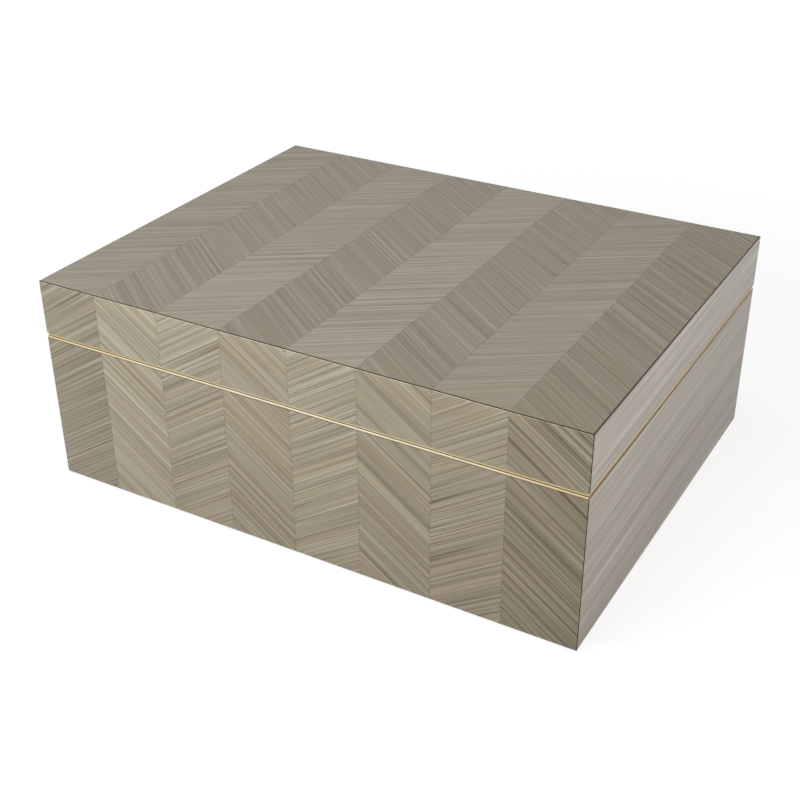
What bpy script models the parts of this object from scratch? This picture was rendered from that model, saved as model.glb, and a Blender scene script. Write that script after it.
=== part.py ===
"""A lidded wooden box in chevron veneer, with brass rims, a suede lining and two rear stop hinges.

Metres, +Z up. The front faces -Y and the hinges are at +Y. The origin is at the centre of the felt
that the box stands on. Walls are drawn in their own coordinates: s along the wall, u inward from the
outer face, z up.
"""
import math

import bmesh
import bpy

# Overall sizes of the wood
BOX_WIDTH = 0.310
BOX_DEPTH = 0.240
BASE_HEIGHT = 0.0863
LID_HEIGHT = 0.0317

# Gaps
GLUE_LINE = 0.0001
SEAM_GAP = 0.0003
RUNNING_GAP = 0.0003
LIP_CLEARANCE = 0.0006
OVERRUN = 0.002

# Veneer
VENEER = 0.0006
STRIP_GAP = 0.00008
ARRIS_RADIUS = 0.0005
ARRIS_LIMIT_SHARE = 0.85
ARRIS_STEPS = 3
STRIP_EDGE_SHARES = (0.0, 0.1200, 0.2475, 0.3712, 0.4985, 0.6222, 0.7498, 0.8730, 1.0)

# Wooden walls and boards
BASE_CORE = 0.009
BOTTOM_BOARD = 0.005
TOP_BOARD = 0.008
REBATE = 0.004

# Brass rims
BASE_RIM_HEIGHT = 0.001
BASE_RIM_EASING = 0.0004
LID_RIM_HEIGHT = 0.0008

# Bevel through the lid's veneers at their low edge, which its brass strip is set in by
LID_EDGE_HEIGHT = 0.001
LID_EDGE_DEPTH = 0.0005

# Felt, liner and pads
FELT = 0.0009
FELT_PROUD = 0.0005
FELT_MARGIN = 0.002
FELT_CORNER = 0.004
LINER = 0.0024
LINER_PROUD = 0.006
LINER_CORNER = 0.0008
LINER_ROUND_SHARE = 0.42
LINER_STEPS = 4
PAD_GAP = 0.0003
PAD_ROUND_SHARE = 0.5
PAD_CORNER = 0.0015
PAD_STEPS = 3
FLOOR_PAD = 0.003
LID_PAD = 0.004
LID_PAD_MARGIN = 0.0012

# Hinges
HINGE_SPACING = 0.170
LEAF_WIDTH = 0.030
LEAF_REACH_SHARE = 0.68
LEAF_WEB = 0.00105
KNUCKLES = 3
KNUCKLE_WALL = 0.00097
KNUCKLE_GAP = 0.0003
SCOOP_CLEARANCE = 0.00015
PIN_RADIUS = 0.00095
PIN_CLEARANCE = 0.00008
STOP_ANGLE = math.radians(96)
HINGE_SIDES = 24

# Screws
SCREW_SPACING_SHARE = 0.6
SCREW_LENGTH = 0.009
SCREW_SHANK_RADIUS = 0.0008
SCREW_HEAD_RADIUS = 0.0017
SCREW_HEAD_RIM = 0.0002
SCREW_SINK = 0.0001
SCREW_SLOT_WIDTH = 0.0005
SCREW_SLOT_DEPTH = 0.0004
SCREW_TIP_SHARE = 0.25
SCREW_SIDES = 16

# Levels worked out from the sizes above
WOOD_LOW = FELT_PROUD
SEAM_LEVEL = WOOD_LOW + BASE_HEIGHT
WOOD_HIGH = SEAM_LEVEL + LID_HEIGHT
BASE_HIGH = SEAM_LEVEL - SEAM_GAP / 2
LID_LOW = SEAM_LEVEL + SEAM_GAP / 2
BASE_WOOD_HIGH = BASE_HIGH - BASE_RIM_HEIGHT - GLUE_LINE
LID_WOOD_LOW = LID_LOW + LID_RIM_HEIGHT + GLUE_LINE
LID_WOOD_HIGH = WOOD_HIGH - VENEER - GLUE_LINE
BOARD_LOW = FELT + GLUE_LINE
BOARD_HIGH = BOARD_LOW + BOTTOM_BOARD
TOP_BOARD_LOW = LID_WOOD_HIGH - TOP_BOARD

# Depths into the walls
CORE_OUT = VENEER + GLUE_LINE
BASE_IN = CORE_OUT + BASE_CORE
LINER_OUT = BASE_IN + GLUE_LINE
LINER_IN = LINER_OUT + LINER
LID_IN = LINER_OUT - LIP_CLEARANCE
ARRIS = min(ARRIS_RADIUS, VENEER * ARRIS_LIMIT_SHARE)
EDGE_DEPTH = min(LID_EDGE_DEPTH, VENEER * ARRIS_LIMIT_SHARE)

# Hinge sizes worked out from the sizes above
KNUCKLE_RADIUS = PIN_RADIUS + PIN_CLEARANCE + KNUCKLE_WALL
AXIS_OUT = KNUCKLE_RADIUS + RUNNING_GAP
LEAF_THICKNESS = KNUCKLE_RADIUS + SCOOP_CLEARANCE + LEAF_WEB
LEAF_REACH = BASE_IN * LEAF_REACH_SHARE
SCREW_DEPTH = AXIS_OUT + LEAF_REACH / 2
SCREW_SPACING = LEAF_WIDTH * SCREW_SPACING_SHARE

# Each wall is the one before it turned a quarter about Z
WALLS = ("front", "right", "back", "left")
HINGES = ("left", "right")

# Colour, metallic and roughness of each material
FINISHES = {
    "chevron_veneer": ((0.30, 0.27, 0.21, 1.0), 0.0, 0.35),
    "plain_veneer": ((0.34, 0.31, 0.27, 1.0), 0.0, 0.35),
    "wood_core": ((0.16, 0.13, 0.10, 1.0), 0.0, 0.6),
    "brass": ((0.78, 0.60, 0.32, 1.0), 1.0, 0.25),
    "suede": ((0.24, 0.21, 0.18, 1.0), 0.0, 0.95),
    "felt": ((0.05, 0.05, 0.05, 1.0), 0.0, 1.0),
}


def clear_scene():
    """Remove every object so that the model starts from nothing."""
    for item in list(bpy.data.objects):
        bpy.data.objects.remove(item)


def make_material(name):
    """Return the named material, made once from the table of finishes."""
    if name in bpy.data.materials:
        return bpy.data.materials[name]
    colour, metallic, roughness = FINISHES[name]
    material = bpy.data.materials.new(name)
    material.use_nodes = True
    shader = material.node_tree.nodes["Principled BSDF"]
    shader.inputs["Base Color"].default_value = colour
    shader.inputs["Metallic"].default_value = metallic
    shader.inputs["Roughness"].default_value = roughness
    material.diffuse_color = colour
    return material


def link_object(name, mesh, material=None):
    """Put a mesh in the scene under a name, with its material."""
    item = bpy.data.objects.new(name, mesh)
    bpy.context.collection.objects.link(item)
    if material:
        mesh.materials.clear()
        mesh.materials.append(make_material(material))
    return item


def shade(item, sharp_degrees=30):
    """Shade an object smooth, but for the edges sharper than the angle."""
    item.data.shade_smooth()
    item.data.set_sharp_from_angle(angle=math.radians(sharp_degrees))


def loft_mesh(name, rings, closed=False):
    """Skin a row of rings with the same number of points, with end caps unless it closes on itself."""
    shape = bmesh.new()
    rows = [[shape.verts.new(point) for point in ring] for ring in rings]
    count = len(rows[0])
    pairs = list(zip(rows, rows[1:]))
    if closed:
        pairs.append((rows[-1], rows[0]))
    for first, second in pairs:
        for index in range(count):
            after = (index + 1) % count
            shape.faces.new((first[index], first[after], second[after], second[index]))
    if not closed:
        shape.faces.new(rows[0])
        shape.faces.new(rows[-1])
    bmesh.ops.recalc_face_normals(shape, faces=shape.faces)
    mesh = bpy.data.meshes.new(name)
    shape.to_mesh(mesh)
    shape.free()
    return mesh


def turned_mesh(name, outline, sides):
    """Turn an outline of (radius, z) points about Z, with its first and last points on the axis."""
    shape = bmesh.new()
    rows = []
    for radius, height in outline[1:-1]:
        angles = [2 * math.pi * step / sides for step in range(sides)]
        rows.append([shape.verts.new((radius * math.cos(a), radius * math.sin(a), height))
                     for a in angles])
    poles = [shape.verts.new((0, 0, outline[0][1])), shape.verts.new((0, 0, outline[-1][1]))]
    for index in range(sides):
        after = (index + 1) % sides
        for first, second in zip(rows, rows[1:]):
            shape.faces.new((first[index], first[after], second[after], second[index]))
        shape.faces.new((poles[0], rows[0][after], rows[0][index]))
        shape.faces.new((poles[1], rows[-1][index], rows[-1][after]))
    bmesh.ops.recalc_face_normals(shape, faces=shape.faces)
    mesh = bpy.data.meshes.new(name)
    shape.to_mesh(mesh)
    shape.free()
    return mesh


def box_mesh(name, low, high):
    """Return a plain box between two corners."""
    rings = [[(x, low[1], low[2]), (x, high[1], low[2]), (x, high[1], high[2]), (x, low[1], high[2])]
             for x in (low[0], high[0])]
    return loft_mesh(name, rings)


def rod(name, radius, start, end, sides):
    """Return a cylinder object along X between two places on the X axis."""
    rings = []
    for x in (start, end):
        angles = [2 * math.pi * (step + 1 / 2) / sides for step in range(sides)]
        rings.append([(x, radius * math.cos(a), radius * math.sin(a)) for a in angles])
    return link_object(name, loft_mesh(name, rings))


def combine(target, tool, operation="DIFFERENCE"):
    """Cut the tool from the target, or join it on, and remove the tool."""
    modifier = target.modifiers.new("shape", "BOOLEAN")
    modifier.object = tool
    modifier.operation = operation
    modifier.solver = "EXACT"
    bpy.context.view_layer.update()
    result = target.evaluated_get(bpy.context.evaluated_depsgraph_get())
    mesh = bpy.data.meshes.new_from_object(result)
    target.modifiers.remove(modifier)
    target.data = mesh
    bpy.data.objects.remove(tool)


def wall_length(side):
    """Return the outer length of a wall."""
    return BOX_WIDTH if side in ("front", "back") else BOX_DEPTH


def wall_point(side, s, u, z):
    """Turn a wall's own coordinates into a point of the box."""
    across = BOX_DEPTH if side in ("front", "back") else BOX_WIDTH
    x, y = s, u - across / 2
    for _ in range(WALLS.index(side)):
        x, y = -y, x
    return (x, y, z)


def arc_points(radius, steps):
    """Return (inset, run) pairs of a quarter round, from its run to its inset."""
    points = []
    for step in range(steps + 1):
        angle = math.pi / 2 * step / steps
        points.append((radius * (1 - math.cos(angle)), radius * (1 - math.sin(angle))))
    return points


def softened(u, edge_run):
    """Return an outer face's depth where an edge round adds to a depth it already has."""
    profile = ARRIS ** 2 - (ARRIS - min(u, ARRIS)) ** 2
    rest = ARRIS ** 2 - edge_run ** 2 - profile
    return max(u, ARRIS - math.sqrt(max(rest, 0)))


def edge_depth(height):
    """Return how far the lid's bevelled low edge stands in at a height above the veneer's foot."""
    return EDGE_DEPTH * max(1 - height / LID_EDGE_HEIGHT, 0)


def veneer_outline(low, high, low_form, high_form):
    """Return a veneer's (u, z) outline: its back, then its outer face from the bottom up."""
    bend = low + LID_EDGE_HEIGHT
    outline = [(VENEER, high)] + [(VENEER, bend)] * (low_form == "bevel") + [(VENEER, low)]
    if low_form == "round":
        outline += [(u, low + run) for u, run in reversed(arc_points(ARRIS, ARRIS_STEPS))]
    elif low_form == "bevel":
        outline += [(EDGE_DEPTH, low), (0, bend)]
    else:
        outline.append((0, low))
    if high_form == "round":
        outline += [(u, high - run) for u, run in arc_points(ARRIS, ARRIS_STEPS)]
    else:
        outline.append((0, high))
    return outline


def edge_stations(start, end, half, round_start, round_end):
    """Return places along a veneer, closer together over its rounded upright edges."""
    stations = []
    runs = [run for _, run in arc_points(ARRIS, ARRIS_STEPS)]
    if round_start:
        stations += [-half + run for run in reversed(runs)]
    else:
        stations.append(start)
    if round_end:
        stations += [half - run for run in runs]
    else:
        stations.append(end)
    return stations


def make_veneer(name, side, span, levels, forms, rounded, material):
    """Make a thin veneer on a wall's outer face, with its outer arrises rounded."""
    half = wall_length(side) / 2
    outline = veneer_outline(levels[0], levels[1], forms[0], forms[1])
    rings = []
    for s in edge_stations(span[0], span[1], half, rounded[0], rounded[1]):
        edge_run = max(abs(s) - (half - ARRIS), 0) if any(rounded) else 0
        ring = []
        for u, z in outline:
            depth = u if u == VENEER else softened(u, min(edge_run, ARRIS))
            limit = half - edge_depth(z - levels[0]) if forms[0] == "bevel" else half
            ring.append(wall_point(side, min(max(s, -limit), limit), depth, z))
        rings.append(ring)
    item = link_object(name, loft_mesh(name, rings), material)
    shade(item)
    return item


def strip_span(index):
    """Return where one chevron strip starts and ends across the width, without its joint gaps."""
    left, right = (BOX_WIDTH * (share - 1 / 2) for share in STRIP_EDGE_SHARES[index:index + 2])
    first, last = index == 0, index == len(STRIP_EDGE_SHARES) - 2
    return (left if first else left + STRIP_GAP / 2, right if last else right - STRIP_GAP / 2)


def make_chevron_front(prefix, levels, forms):
    """Make the upright veneer strips of the front, one object each."""
    strips = []
    count = len(STRIP_EDGE_SHARES) - 1
    for index in range(count):
        rounded = (index == 0, index == count - 1)
        strips.append(make_veneer(f"{prefix}_front_veneer_{index + 1}", "front", strip_span(index),
                                  levels, forms, rounded, "chevron_veneer"))
    return strips


def make_chevron_top():
    """Make the veneer strips of the lid's top, between the four upright veneers."""
    strips = []
    half_depth = BOX_DEPTH / 2 - CORE_OUT
    limit = BOX_WIDTH / 2 - CORE_OUT
    for index in range(len(STRIP_EDGE_SHARES) - 1):
        left, right = strip_span(index)
        low = (max(left, -limit), -half_depth, WOOD_HIGH - VENEER)
        high = (min(right, limit), half_depth, WOOD_HIGH)
        name = f"lid_top_veneer_{index + 1}"
        strips.append(link_object(name, box_mesh(name, low, high), "chevron_veneer"))
    return strips


def make_plain_veneers(prefix, levels, forms):
    """Make the back veneer, as wide as the box, and the side veneers that fit between."""
    half = BOX_WIDTH / 2
    veneers = {"back": make_veneer(f"{prefix}_back_veneer", "back", (-half, half), levels, forms,
                                   (True, True), "plain_veneer")}
    reach = BOX_DEPTH / 2 - CORE_OUT
    for side in ("left", "right"):
        veneers[side] = make_veneer(f"{prefix}_{side}_veneer", side, (-reach, reach), levels, forms,
                                    (False, False), "plain_veneer")
    return veneers


def make_mitred_bar(name, side, outline, material):
    """Make a wall panel from its (u, z) outline, with mitred ends."""
    half = wall_length(side) / 2
    rings = [[wall_point(side, end * (half - u - GLUE_LINE), u, z) for u, z in outline]
             for end in (-1, 1)]
    return link_object(name, loft_mesh(name, rings), material)


def base_wall_outline():
    """Return a base wall's section, rebated below for the bottom board."""
    step = BASE_IN - REBATE
    ledge = BOARD_HIGH + GLUE_LINE
    return [(CORE_OUT, WOOD_LOW), (step, WOOD_LOW), (step, ledge), (BASE_IN, ledge),
            (BASE_IN, BASE_WOOD_HIGH), (CORE_OUT, BASE_WOOD_HIGH)]


def lid_wall_outline():
    """Return a lid wall's section, rebated above for the top board."""
    step = LID_IN - REBATE
    ledge = TOP_BOARD_LOW - GLUE_LINE
    return [(CORE_OUT, LID_WOOD_LOW), (LID_IN, LID_WOOD_LOW), (LID_IN, ledge), (step, ledge),
            (step, LID_WOOD_HIGH), (CORE_OUT, LID_WOOD_HIGH)]


def make_walls(prefix, outline):
    """Make the four mitred wall panels of the base or the lid."""
    return {side: make_mitred_bar(f"{prefix}_{side}_panel", side, outline, "wood_core")
            for side in WALLS}


def rounded_loop(inset, z, radius, steps):
    """Return a rectangle inset from the box's outline, with round corners, as points."""
    points = []
    for turn in range(4):
        sign_x, sign_y = ((1, 1), (-1, 1), (-1, -1), (1, -1))[turn]
        for step in range(steps + 1):
            angle = math.pi / 2 * (turn + step / steps)
            points.append((sign_x * (BOX_WIDTH / 2 - inset - radius) + radius * math.cos(angle),
                           sign_y * (BOX_DEPTH / 2 - inset - radius) + radius * math.sin(angle), z))
    return points


def make_swept_ring(name, outline, corner_radius, steps, material):
    """Sweep a closed (u, z) outline round the box's plan."""
    loops = [rounded_loop(u, z, corner_radius, steps) for u, z in outline]
    item = link_object(name, loft_mesh(name, loops, closed=True), material)
    shade(item)
    return item


def make_base_rim():
    """Make the brass strip on the base's rim, its outer arris eased."""
    easing = min(BASE_RIM_EASING, BASE_RIM_HEIGHT * ARRIS_LIMIT_SHARE)
    low = BASE_HIGH - BASE_RIM_HEIGHT
    outline = [(BASE_IN, BASE_HIGH), (BASE_IN, low), (0, low)]
    outline += [(u, BASE_HIGH - run) for u, run in arc_points(easing, ARRIS_STEPS)]
    return make_swept_ring("base_rim_strip", outline, ARRIS, ARRIS_STEPS, "brass")


def make_lid_rim():
    """Make the brass strip on the lid's rim, its outer face at the foot of the bevel above it."""
    high = LID_LOW + LID_RIM_HEIGHT
    outline = [(LID_IN, LID_LOW), (EDGE_DEPTH, LID_LOW), (EDGE_DEPTH, high), (LID_IN, high)]
    return make_swept_ring("lid_rim_strip", outline, ARRIS, ARRIS_STEPS, "brass")


def make_liner():
    """Make the suede-covered liner that stands up past the base's rim."""
    radius = LINER * LINER_ROUND_SHARE
    low = BOARD_HIGH + GLUE_LINE
    high = BASE_HIGH + LINER_PROUD
    outline = [(LINER_IN, low), (LINER_OUT, low)]
    outline += [(LINER_OUT + u, high - run) for u, run in arc_points(radius, LINER_STEPS)]
    inner = [(LINER_IN - u, high - run) for u, run in arc_points(radius, LINER_STEPS)]
    outline += list(reversed(inner))
    return make_swept_ring("base_liner", outline, LINER_CORNER, ARRIS_STEPS, "suede")


def make_slab(name, inset, levels, corner_radius, rounds, material):
    """Make a flat sheet or pad, with its lower and upper edges rounded by the given radii."""
    low, high = levels
    loops = []
    low_arc = arc_points(rounds[0], PAD_STEPS) if rounds[0] else [(0, 0)]
    high_arc = arc_points(rounds[1], PAD_STEPS) if rounds[1] else [(0, 0)]
    for u, run in reversed(low_arc):
        loops.append(rounded_loop(inset + u, low + run, corner_radius, PAD_STEPS))
    for u, run in high_arc:
        loops.append(rounded_loop(inset + u, high - run, corner_radius, PAD_STEPS))
    item = link_object(name, loft_mesh(name, loops), material)
    shade(item)
    return item


def make_base_sheets():
    """Make the base's bottom board, the felt under it and the pad on it."""
    board_inset = BASE_IN - REBATE + GLUE_LINE
    make_slab("base_bottom_board", board_inset, (BOARD_LOW, BOARD_HIGH), GLUE_LINE, (0, 0), "wood_core")
    make_slab("base_felt", board_inset + FELT_MARGIN, (0, FELT), FELT_CORNER, (0, 0), "felt")
    low = BOARD_HIGH + GLUE_LINE
    make_slab("base_floor_pad", LINER_IN + PAD_GAP, (low, low + FLOOR_PAD), PAD_CORNER,
              (0, FLOOR_PAD * PAD_ROUND_SHARE), "suede")


def make_lid_sheets():
    """Make the lid's top board and the pad under it, and return them."""
    board = make_slab("lid_top_board", LID_IN - REBATE + GLUE_LINE, (TOP_BOARD_LOW, LID_WOOD_HIGH),
                      GLUE_LINE, (0, 0), "wood_core")
    high = TOP_BOARD_LOW - GLUE_LINE
    pad = make_slab("lid_lining_pad", LID_IN + LID_PAD_MARGIN, (high - LID_PAD, high), PAD_CORNER,
                    (LID_PAD * PAD_ROUND_SHARE, 0), "suede")
    return [board, pad]


def knuckle_spans(own):
    """Return the stretches along the pin of the base's knuckles, or of the lid's."""
    pitch = LEAF_WIDTH / KNUCKLES
    spans = []
    for index in range(KNUCKLES):
        if (index % 2 == 0) == own:
            start = -LEAF_WIDTH / 2 + index * pitch
            spans.append((start, start + pitch))
    return spans


def leaf_section():
    """Return the base leaf's (y, z) section about the pin: plate, heel and stop face."""
    top = -SEAM_GAP / 2
    slope = math.tan(STOP_ANGLE / 2)
    inner = -(AXIS_OUT + LEAF_REACH)
    return [(inner, top), (-top / slope, top), (LEAF_THICKNESS / slope, -LEAF_THICKNESS),
            (inner, -LEAF_THICKNESS)]


def screw_hole(name, clearance, depth):
    """Return a countersunk hole's shape, pointing down from the leaf's face."""
    shank = SCREW_SHANK_RADIUS + clearance
    head = SCREW_HEAD_RADIUS + clearance
    low = -(SCREW_HEAD_RIM + SCREW_SINK)
    outline = [(0, OVERRUN), (head, OVERRUN), (head, low), (shank, low - (head - shank)),
               (shank, -depth), (0, -depth)]
    return link_object(name, turned_mesh(name, outline, SCREW_SIDES))


def make_leaf_mesh(for_base):
    """Make one leaf, drawn as the base's, with its own knuckles, scoops, bore and screw holes."""
    leaf = link_object("leaf", loft_mesh("leaf", [[(x, y, z) for y, z in leaf_section()]
                                                  for x in (-LEAF_WIDTH / 2, LEAF_WIDTH / 2)]))
    for start, end in knuckle_spans(not for_base):
        reach = KNUCKLE_GAP / 2
        low = start - (OVERRUN if start <= -LEAF_WIDTH / 2 else reach)
        high = end + (OVERRUN if end >= LEAF_WIDTH / 2 else reach)
        combine(leaf, rod("scoop", KNUCKLE_RADIUS + SCOOP_CLEARANCE, low, high, HINGE_SIDES))
    for start, end in knuckle_spans(for_base):
        low = start if start <= -LEAF_WIDTH / 2 else start + KNUCKLE_GAP / 2
        high = end if end >= LEAF_WIDTH / 2 else end - KNUCKLE_GAP / 2
        combine(leaf, rod("knuckle", KNUCKLE_RADIUS, low, high, HINGE_SIDES), "UNION")
    half = LEAF_WIDTH / 2 + OVERRUN
    combine(leaf, rod("bore", PIN_RADIUS + PIN_CLEARANCE, -half, half, HINGE_SIDES))
    for sign in (-1, 1):
        hole = screw_hole("hole", GLUE_LINE, LEAF_THICKNESS + OVERRUN)
        hole.location = (sign * SCREW_SPACING / 2, -SCREW_DEPTH, -SEAM_GAP / 2)
        combine(leaf, hole)
    if not for_base:
        for vertex in leaf.data.vertices:
            vertex.co.z = -vertex.co.z
        leaf.data.flip_normals()
    mesh = leaf.data
    bpy.data.objects.remove(leaf)
    return mesh


def make_screw_mesh():
    """Make a countersunk slotted screw, its head's face at z = 0, pointing down."""
    low = -SCREW_HEAD_RIM
    taper = SCREW_HEAD_RADIUS - SCREW_SHANK_RADIUS
    tip = SCREW_LENGTH * SCREW_TIP_SHARE
    outline = [(0, 0), (SCREW_HEAD_RADIUS, 0), (SCREW_HEAD_RADIUS, low),
               (SCREW_SHANK_RADIUS, low - taper), (SCREW_SHANK_RADIUS, tip - SCREW_LENGTH),
               (0, -SCREW_LENGTH)]
    screw = link_object("screw", turned_mesh("screw", outline, SCREW_SIDES))
    reach = SCREW_HEAD_RADIUS + OVERRUN
    slot = box_mesh("slot", (-reach, -SCREW_SLOT_WIDTH / 2, -SCREW_SLOT_DEPTH),
                    (reach, SCREW_SLOT_WIDTH / 2, OVERRUN))
    combine(screw, link_object("slot", slot))
    mesh = screw.data
    bpy.data.objects.remove(screw)
    return mesh


def hinge_axis():
    """Return the y and z of the pins' axis."""
    return BOX_DEPTH / 2 + AXIS_OUT, SEAM_LEVEL


def hinge_centres():
    """Return each hinge's name and where its middle lies along the axis."""
    return [(name, (index - 1 / 2) * HINGE_SPACING) for index, name in enumerate(HINGES)]


def place_piece(name, mesh, material, location):
    """Put a hinge piece in the scene at its place."""
    item = link_object(name, mesh, material)
    item.location = location
    shade(item)
    return item


def make_hinges():
    """Make both hinges and return the lid's pieces of them."""
    axis_y, axis_z = hinge_axis()
    leaves = {"base": make_leaf_mesh(True), "lid": make_leaf_mesh(False)}
    screws = {"base": make_screw_mesh(), "lid": make_screw_mesh()}
    for vertex in screws["lid"].vertices:
        vertex.co.z = -vertex.co.z
    screws["lid"].flip_normals()
    pin = rod("pin", PIN_RADIUS, -LEAF_WIDTH / 2, LEAF_WIDTH / 2, HINGE_SIDES)
    pieces = {"base": [], "lid": []}
    for side, centre in hinge_centres():
        for body, facing in (("base", -1), ("lid", 1)):
            pieces[body].append(place_piece(f"hinge_{side}_{body}_leaf", leaves[body], "brass",
                                            (centre, axis_y, axis_z)))
            level = axis_z + facing * (SEAM_GAP / 2 + SCREW_SINK)
            for number, offset in ((1, -SCREW_SPACING / 2), (2, SCREW_SPACING / 2)):
                place = (centre + offset, axis_y - SCREW_DEPTH, level)
                pieces[body].append(place_piece(f"hinge_{side}_{body}_screw_{number}", screws[body],
                                                "brass", place))
        pieces["base"].append(place_piece(f"hinge_{side}_pin", pin.data, "brass",
                                          (centre, axis_y, axis_z)))
    bpy.data.objects.remove(pin)
    return pieces["lid"]


def cut_mortises(targets, facing):
    """Cut the hinge leaves' seats into back pieces of the base (facing -1) or the lid (facing 1)."""
    axis_y, axis_z = hinge_axis()
    for target in targets:
        for _, centre in hinge_centres():
            reach = LEAF_WIDTH / 2 + GLUE_LINE
            inner = BOX_DEPTH / 2 - LEAF_REACH - GLUE_LINE
            floor = axis_z + facing * (LEAF_THICKNESS + GLUE_LINE)
            mouth = axis_z - facing * SEAM_GAP
            low = (centre - reach, inner, min(floor, mouth))
            high = (centre + reach, axis_y, max(floor, mouth))
            combine(target, link_object("mortise", box_mesh("mortise", low, high)))


def drill_pilot_holes(panel, facing):
    """Drill the back panel for the hinge screws."""
    axis_y, axis_z = hinge_axis()
    depth = SCREW_LENGTH + SCREW_SINK + GLUE_LINE
    for _, centre in hinge_centres():
        for offset in (-SCREW_SPACING / 2, SCREW_SPACING / 2):
            hole = screw_hole("pilot", GLUE_LINE, depth)
            hole.location = (centre + offset, axis_y - SCREW_DEPTH,
                             axis_z + facing * SEAM_GAP / 2)
            if facing > 0:
                hole.rotation_euler = (math.pi, 0, 0)
            combine(panel, hole)


def hang_on_axis(pieces):
    """Parent the lid's pieces to an empty on the pins' axis."""
    axis_y, axis_z = hinge_axis()
    axis = bpy.data.objects.new("lid_axis", None)
    axis.location = (0, axis_y, axis_z)
    bpy.context.collection.objects.link(axis)
    for piece in pieces:
        piece.parent = axis
        piece.location = (piece.location.x, piece.location.y - axis_y, piece.location.z - axis_z)


def make_base():
    """Make the base's wood and brass."""
    walls = make_walls("base", base_wall_outline())
    levels, forms = (WOOD_LOW, BASE_WOOD_HIGH), ("round", "square")
    make_chevron_front("base", levels, forms)
    veneers = make_plain_veneers("base", levels, forms)
    rim = make_base_rim()
    cut_mortises([walls["back"], veneers["back"], rim], -1)
    drill_pilot_holes(walls["back"], -1)
    make_liner()
    make_base_sheets()


def make_lid():
    """Make the lid's wood and brass, and return its pieces."""
    walls = make_walls("lid", lid_wall_outline())
    levels, forms = (LID_WOOD_LOW, WOOD_HIGH), ("bevel", "round")
    strips = make_chevron_front("lid", levels, forms) + make_chevron_top()
    veneers = make_plain_veneers("lid", levels, forms)
    rim = make_lid_rim()
    cut_mortises([walls["back"], veneers["back"], rim], 1)
    drill_pilot_holes(walls["back"], 1)
    return list(walls.values()) + strips + list(veneers.values()) + [rim] + make_lid_sheets()


def main():
    """Build the whole box."""
    clear_scene()
    make_base()
    hang_on_axis(make_lid() + make_hinges())


main()
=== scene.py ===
"""The looks of a wooden box in chevron veneer, with brass rims, suede lining and two rear hinges.

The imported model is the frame. Metres, +Z up, the front faces -Y. Wall pieces are worked out in the
wall's own coordinates, s along the wall, u inward from its outer face and z up. Each wall is the one
before it turned a quarter about Z, from the front round by the right.
"""

import logging
import math
from collections.abc import Callable, Iterable, Sequence
from dataclasses import dataclass, fields, replace
from enum import Enum
from typing import NamedTuple

import bmesh
import bpy
from mathutils import Matrix, Vector, noise


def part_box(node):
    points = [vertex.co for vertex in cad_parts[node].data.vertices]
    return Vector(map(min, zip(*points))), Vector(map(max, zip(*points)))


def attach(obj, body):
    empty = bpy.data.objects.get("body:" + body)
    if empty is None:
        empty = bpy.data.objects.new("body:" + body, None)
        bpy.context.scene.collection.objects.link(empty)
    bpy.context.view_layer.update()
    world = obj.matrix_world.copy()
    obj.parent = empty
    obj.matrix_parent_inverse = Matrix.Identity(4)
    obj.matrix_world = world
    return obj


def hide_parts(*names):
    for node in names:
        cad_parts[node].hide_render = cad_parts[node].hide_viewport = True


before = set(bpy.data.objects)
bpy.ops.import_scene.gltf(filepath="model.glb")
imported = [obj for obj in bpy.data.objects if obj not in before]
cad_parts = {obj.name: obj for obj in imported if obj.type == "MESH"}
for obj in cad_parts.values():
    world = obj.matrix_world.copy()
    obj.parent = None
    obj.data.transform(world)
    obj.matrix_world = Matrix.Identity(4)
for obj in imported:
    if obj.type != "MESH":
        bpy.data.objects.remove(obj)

LOG = logging.getLogger("wooden_box")
MILLIMETRE = 0.001
QUARTER = math.pi / 2
SHARP_ANGLE = math.radians(32)
MERGE_DISTANCE = 1e-7
HALF_WIDTH = 155 * MILLIMETRE
BOX_TOP = 118.5 * MILLIMETRE
LID_EDGE_DEPTH = 0.5 * MILLIMETRE
PAINTED_SIDE_MARGIN = 0.15 * MILLIMETRE
WOOD_IOR = 1.45
LACQUER_IOR = 1.5
ACROSS_FIBRES = 0.25
NOISE_MIDDLE = 0.5
GRAIN_MAP = "grain"
TONE_ATTRIBUTE = "leaf_tone_and_painted_sheen"

Colour = tuple[float, float, float]
Point = tuple[float, float, float]
Feed = bpy.types.NodeSocket | float | int | bool | str | tuple | bpy.types.ID


class Body(Enum):
    """The two bodies that the hinge joins."""

    BASE = "base"
    LID = "lid"


class Slot(Enum):
    """The material slots, by name."""

    CHEVRON = "chevron_veneer"
    PLAIN = "plain_veneer"
    CORE = "wood_core"
    BRASS = "brass"
    SUEDE = "suede"
    FELT = "felt"


class Wall(Enum):
    """The four walls, each by the quarter turns that bring the front to it."""

    FRONT = 0
    RIGHT = 1
    BACK = 2
    LEFT = 3


def srgb(red: float, green: float, blue: float) -> Colour:
    """Turn a colour of 0 to 255 as a screen shows it into linear light.

    Args:
        red: The red part.
        green: The green part.
        blue: The blue part.

    Returns:
        The same colour in linear light, each part from 0 to 1.
    """
    def linear(part: float) -> float:
        """Turn one part of the colour into linear light."""
        share = part / 255
        return share / 12.92 if share <= 0.04045 else ((share + 0.055) / 1.055) ** 2.4

    return linear(red), linear(green), linear(blue)


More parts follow.
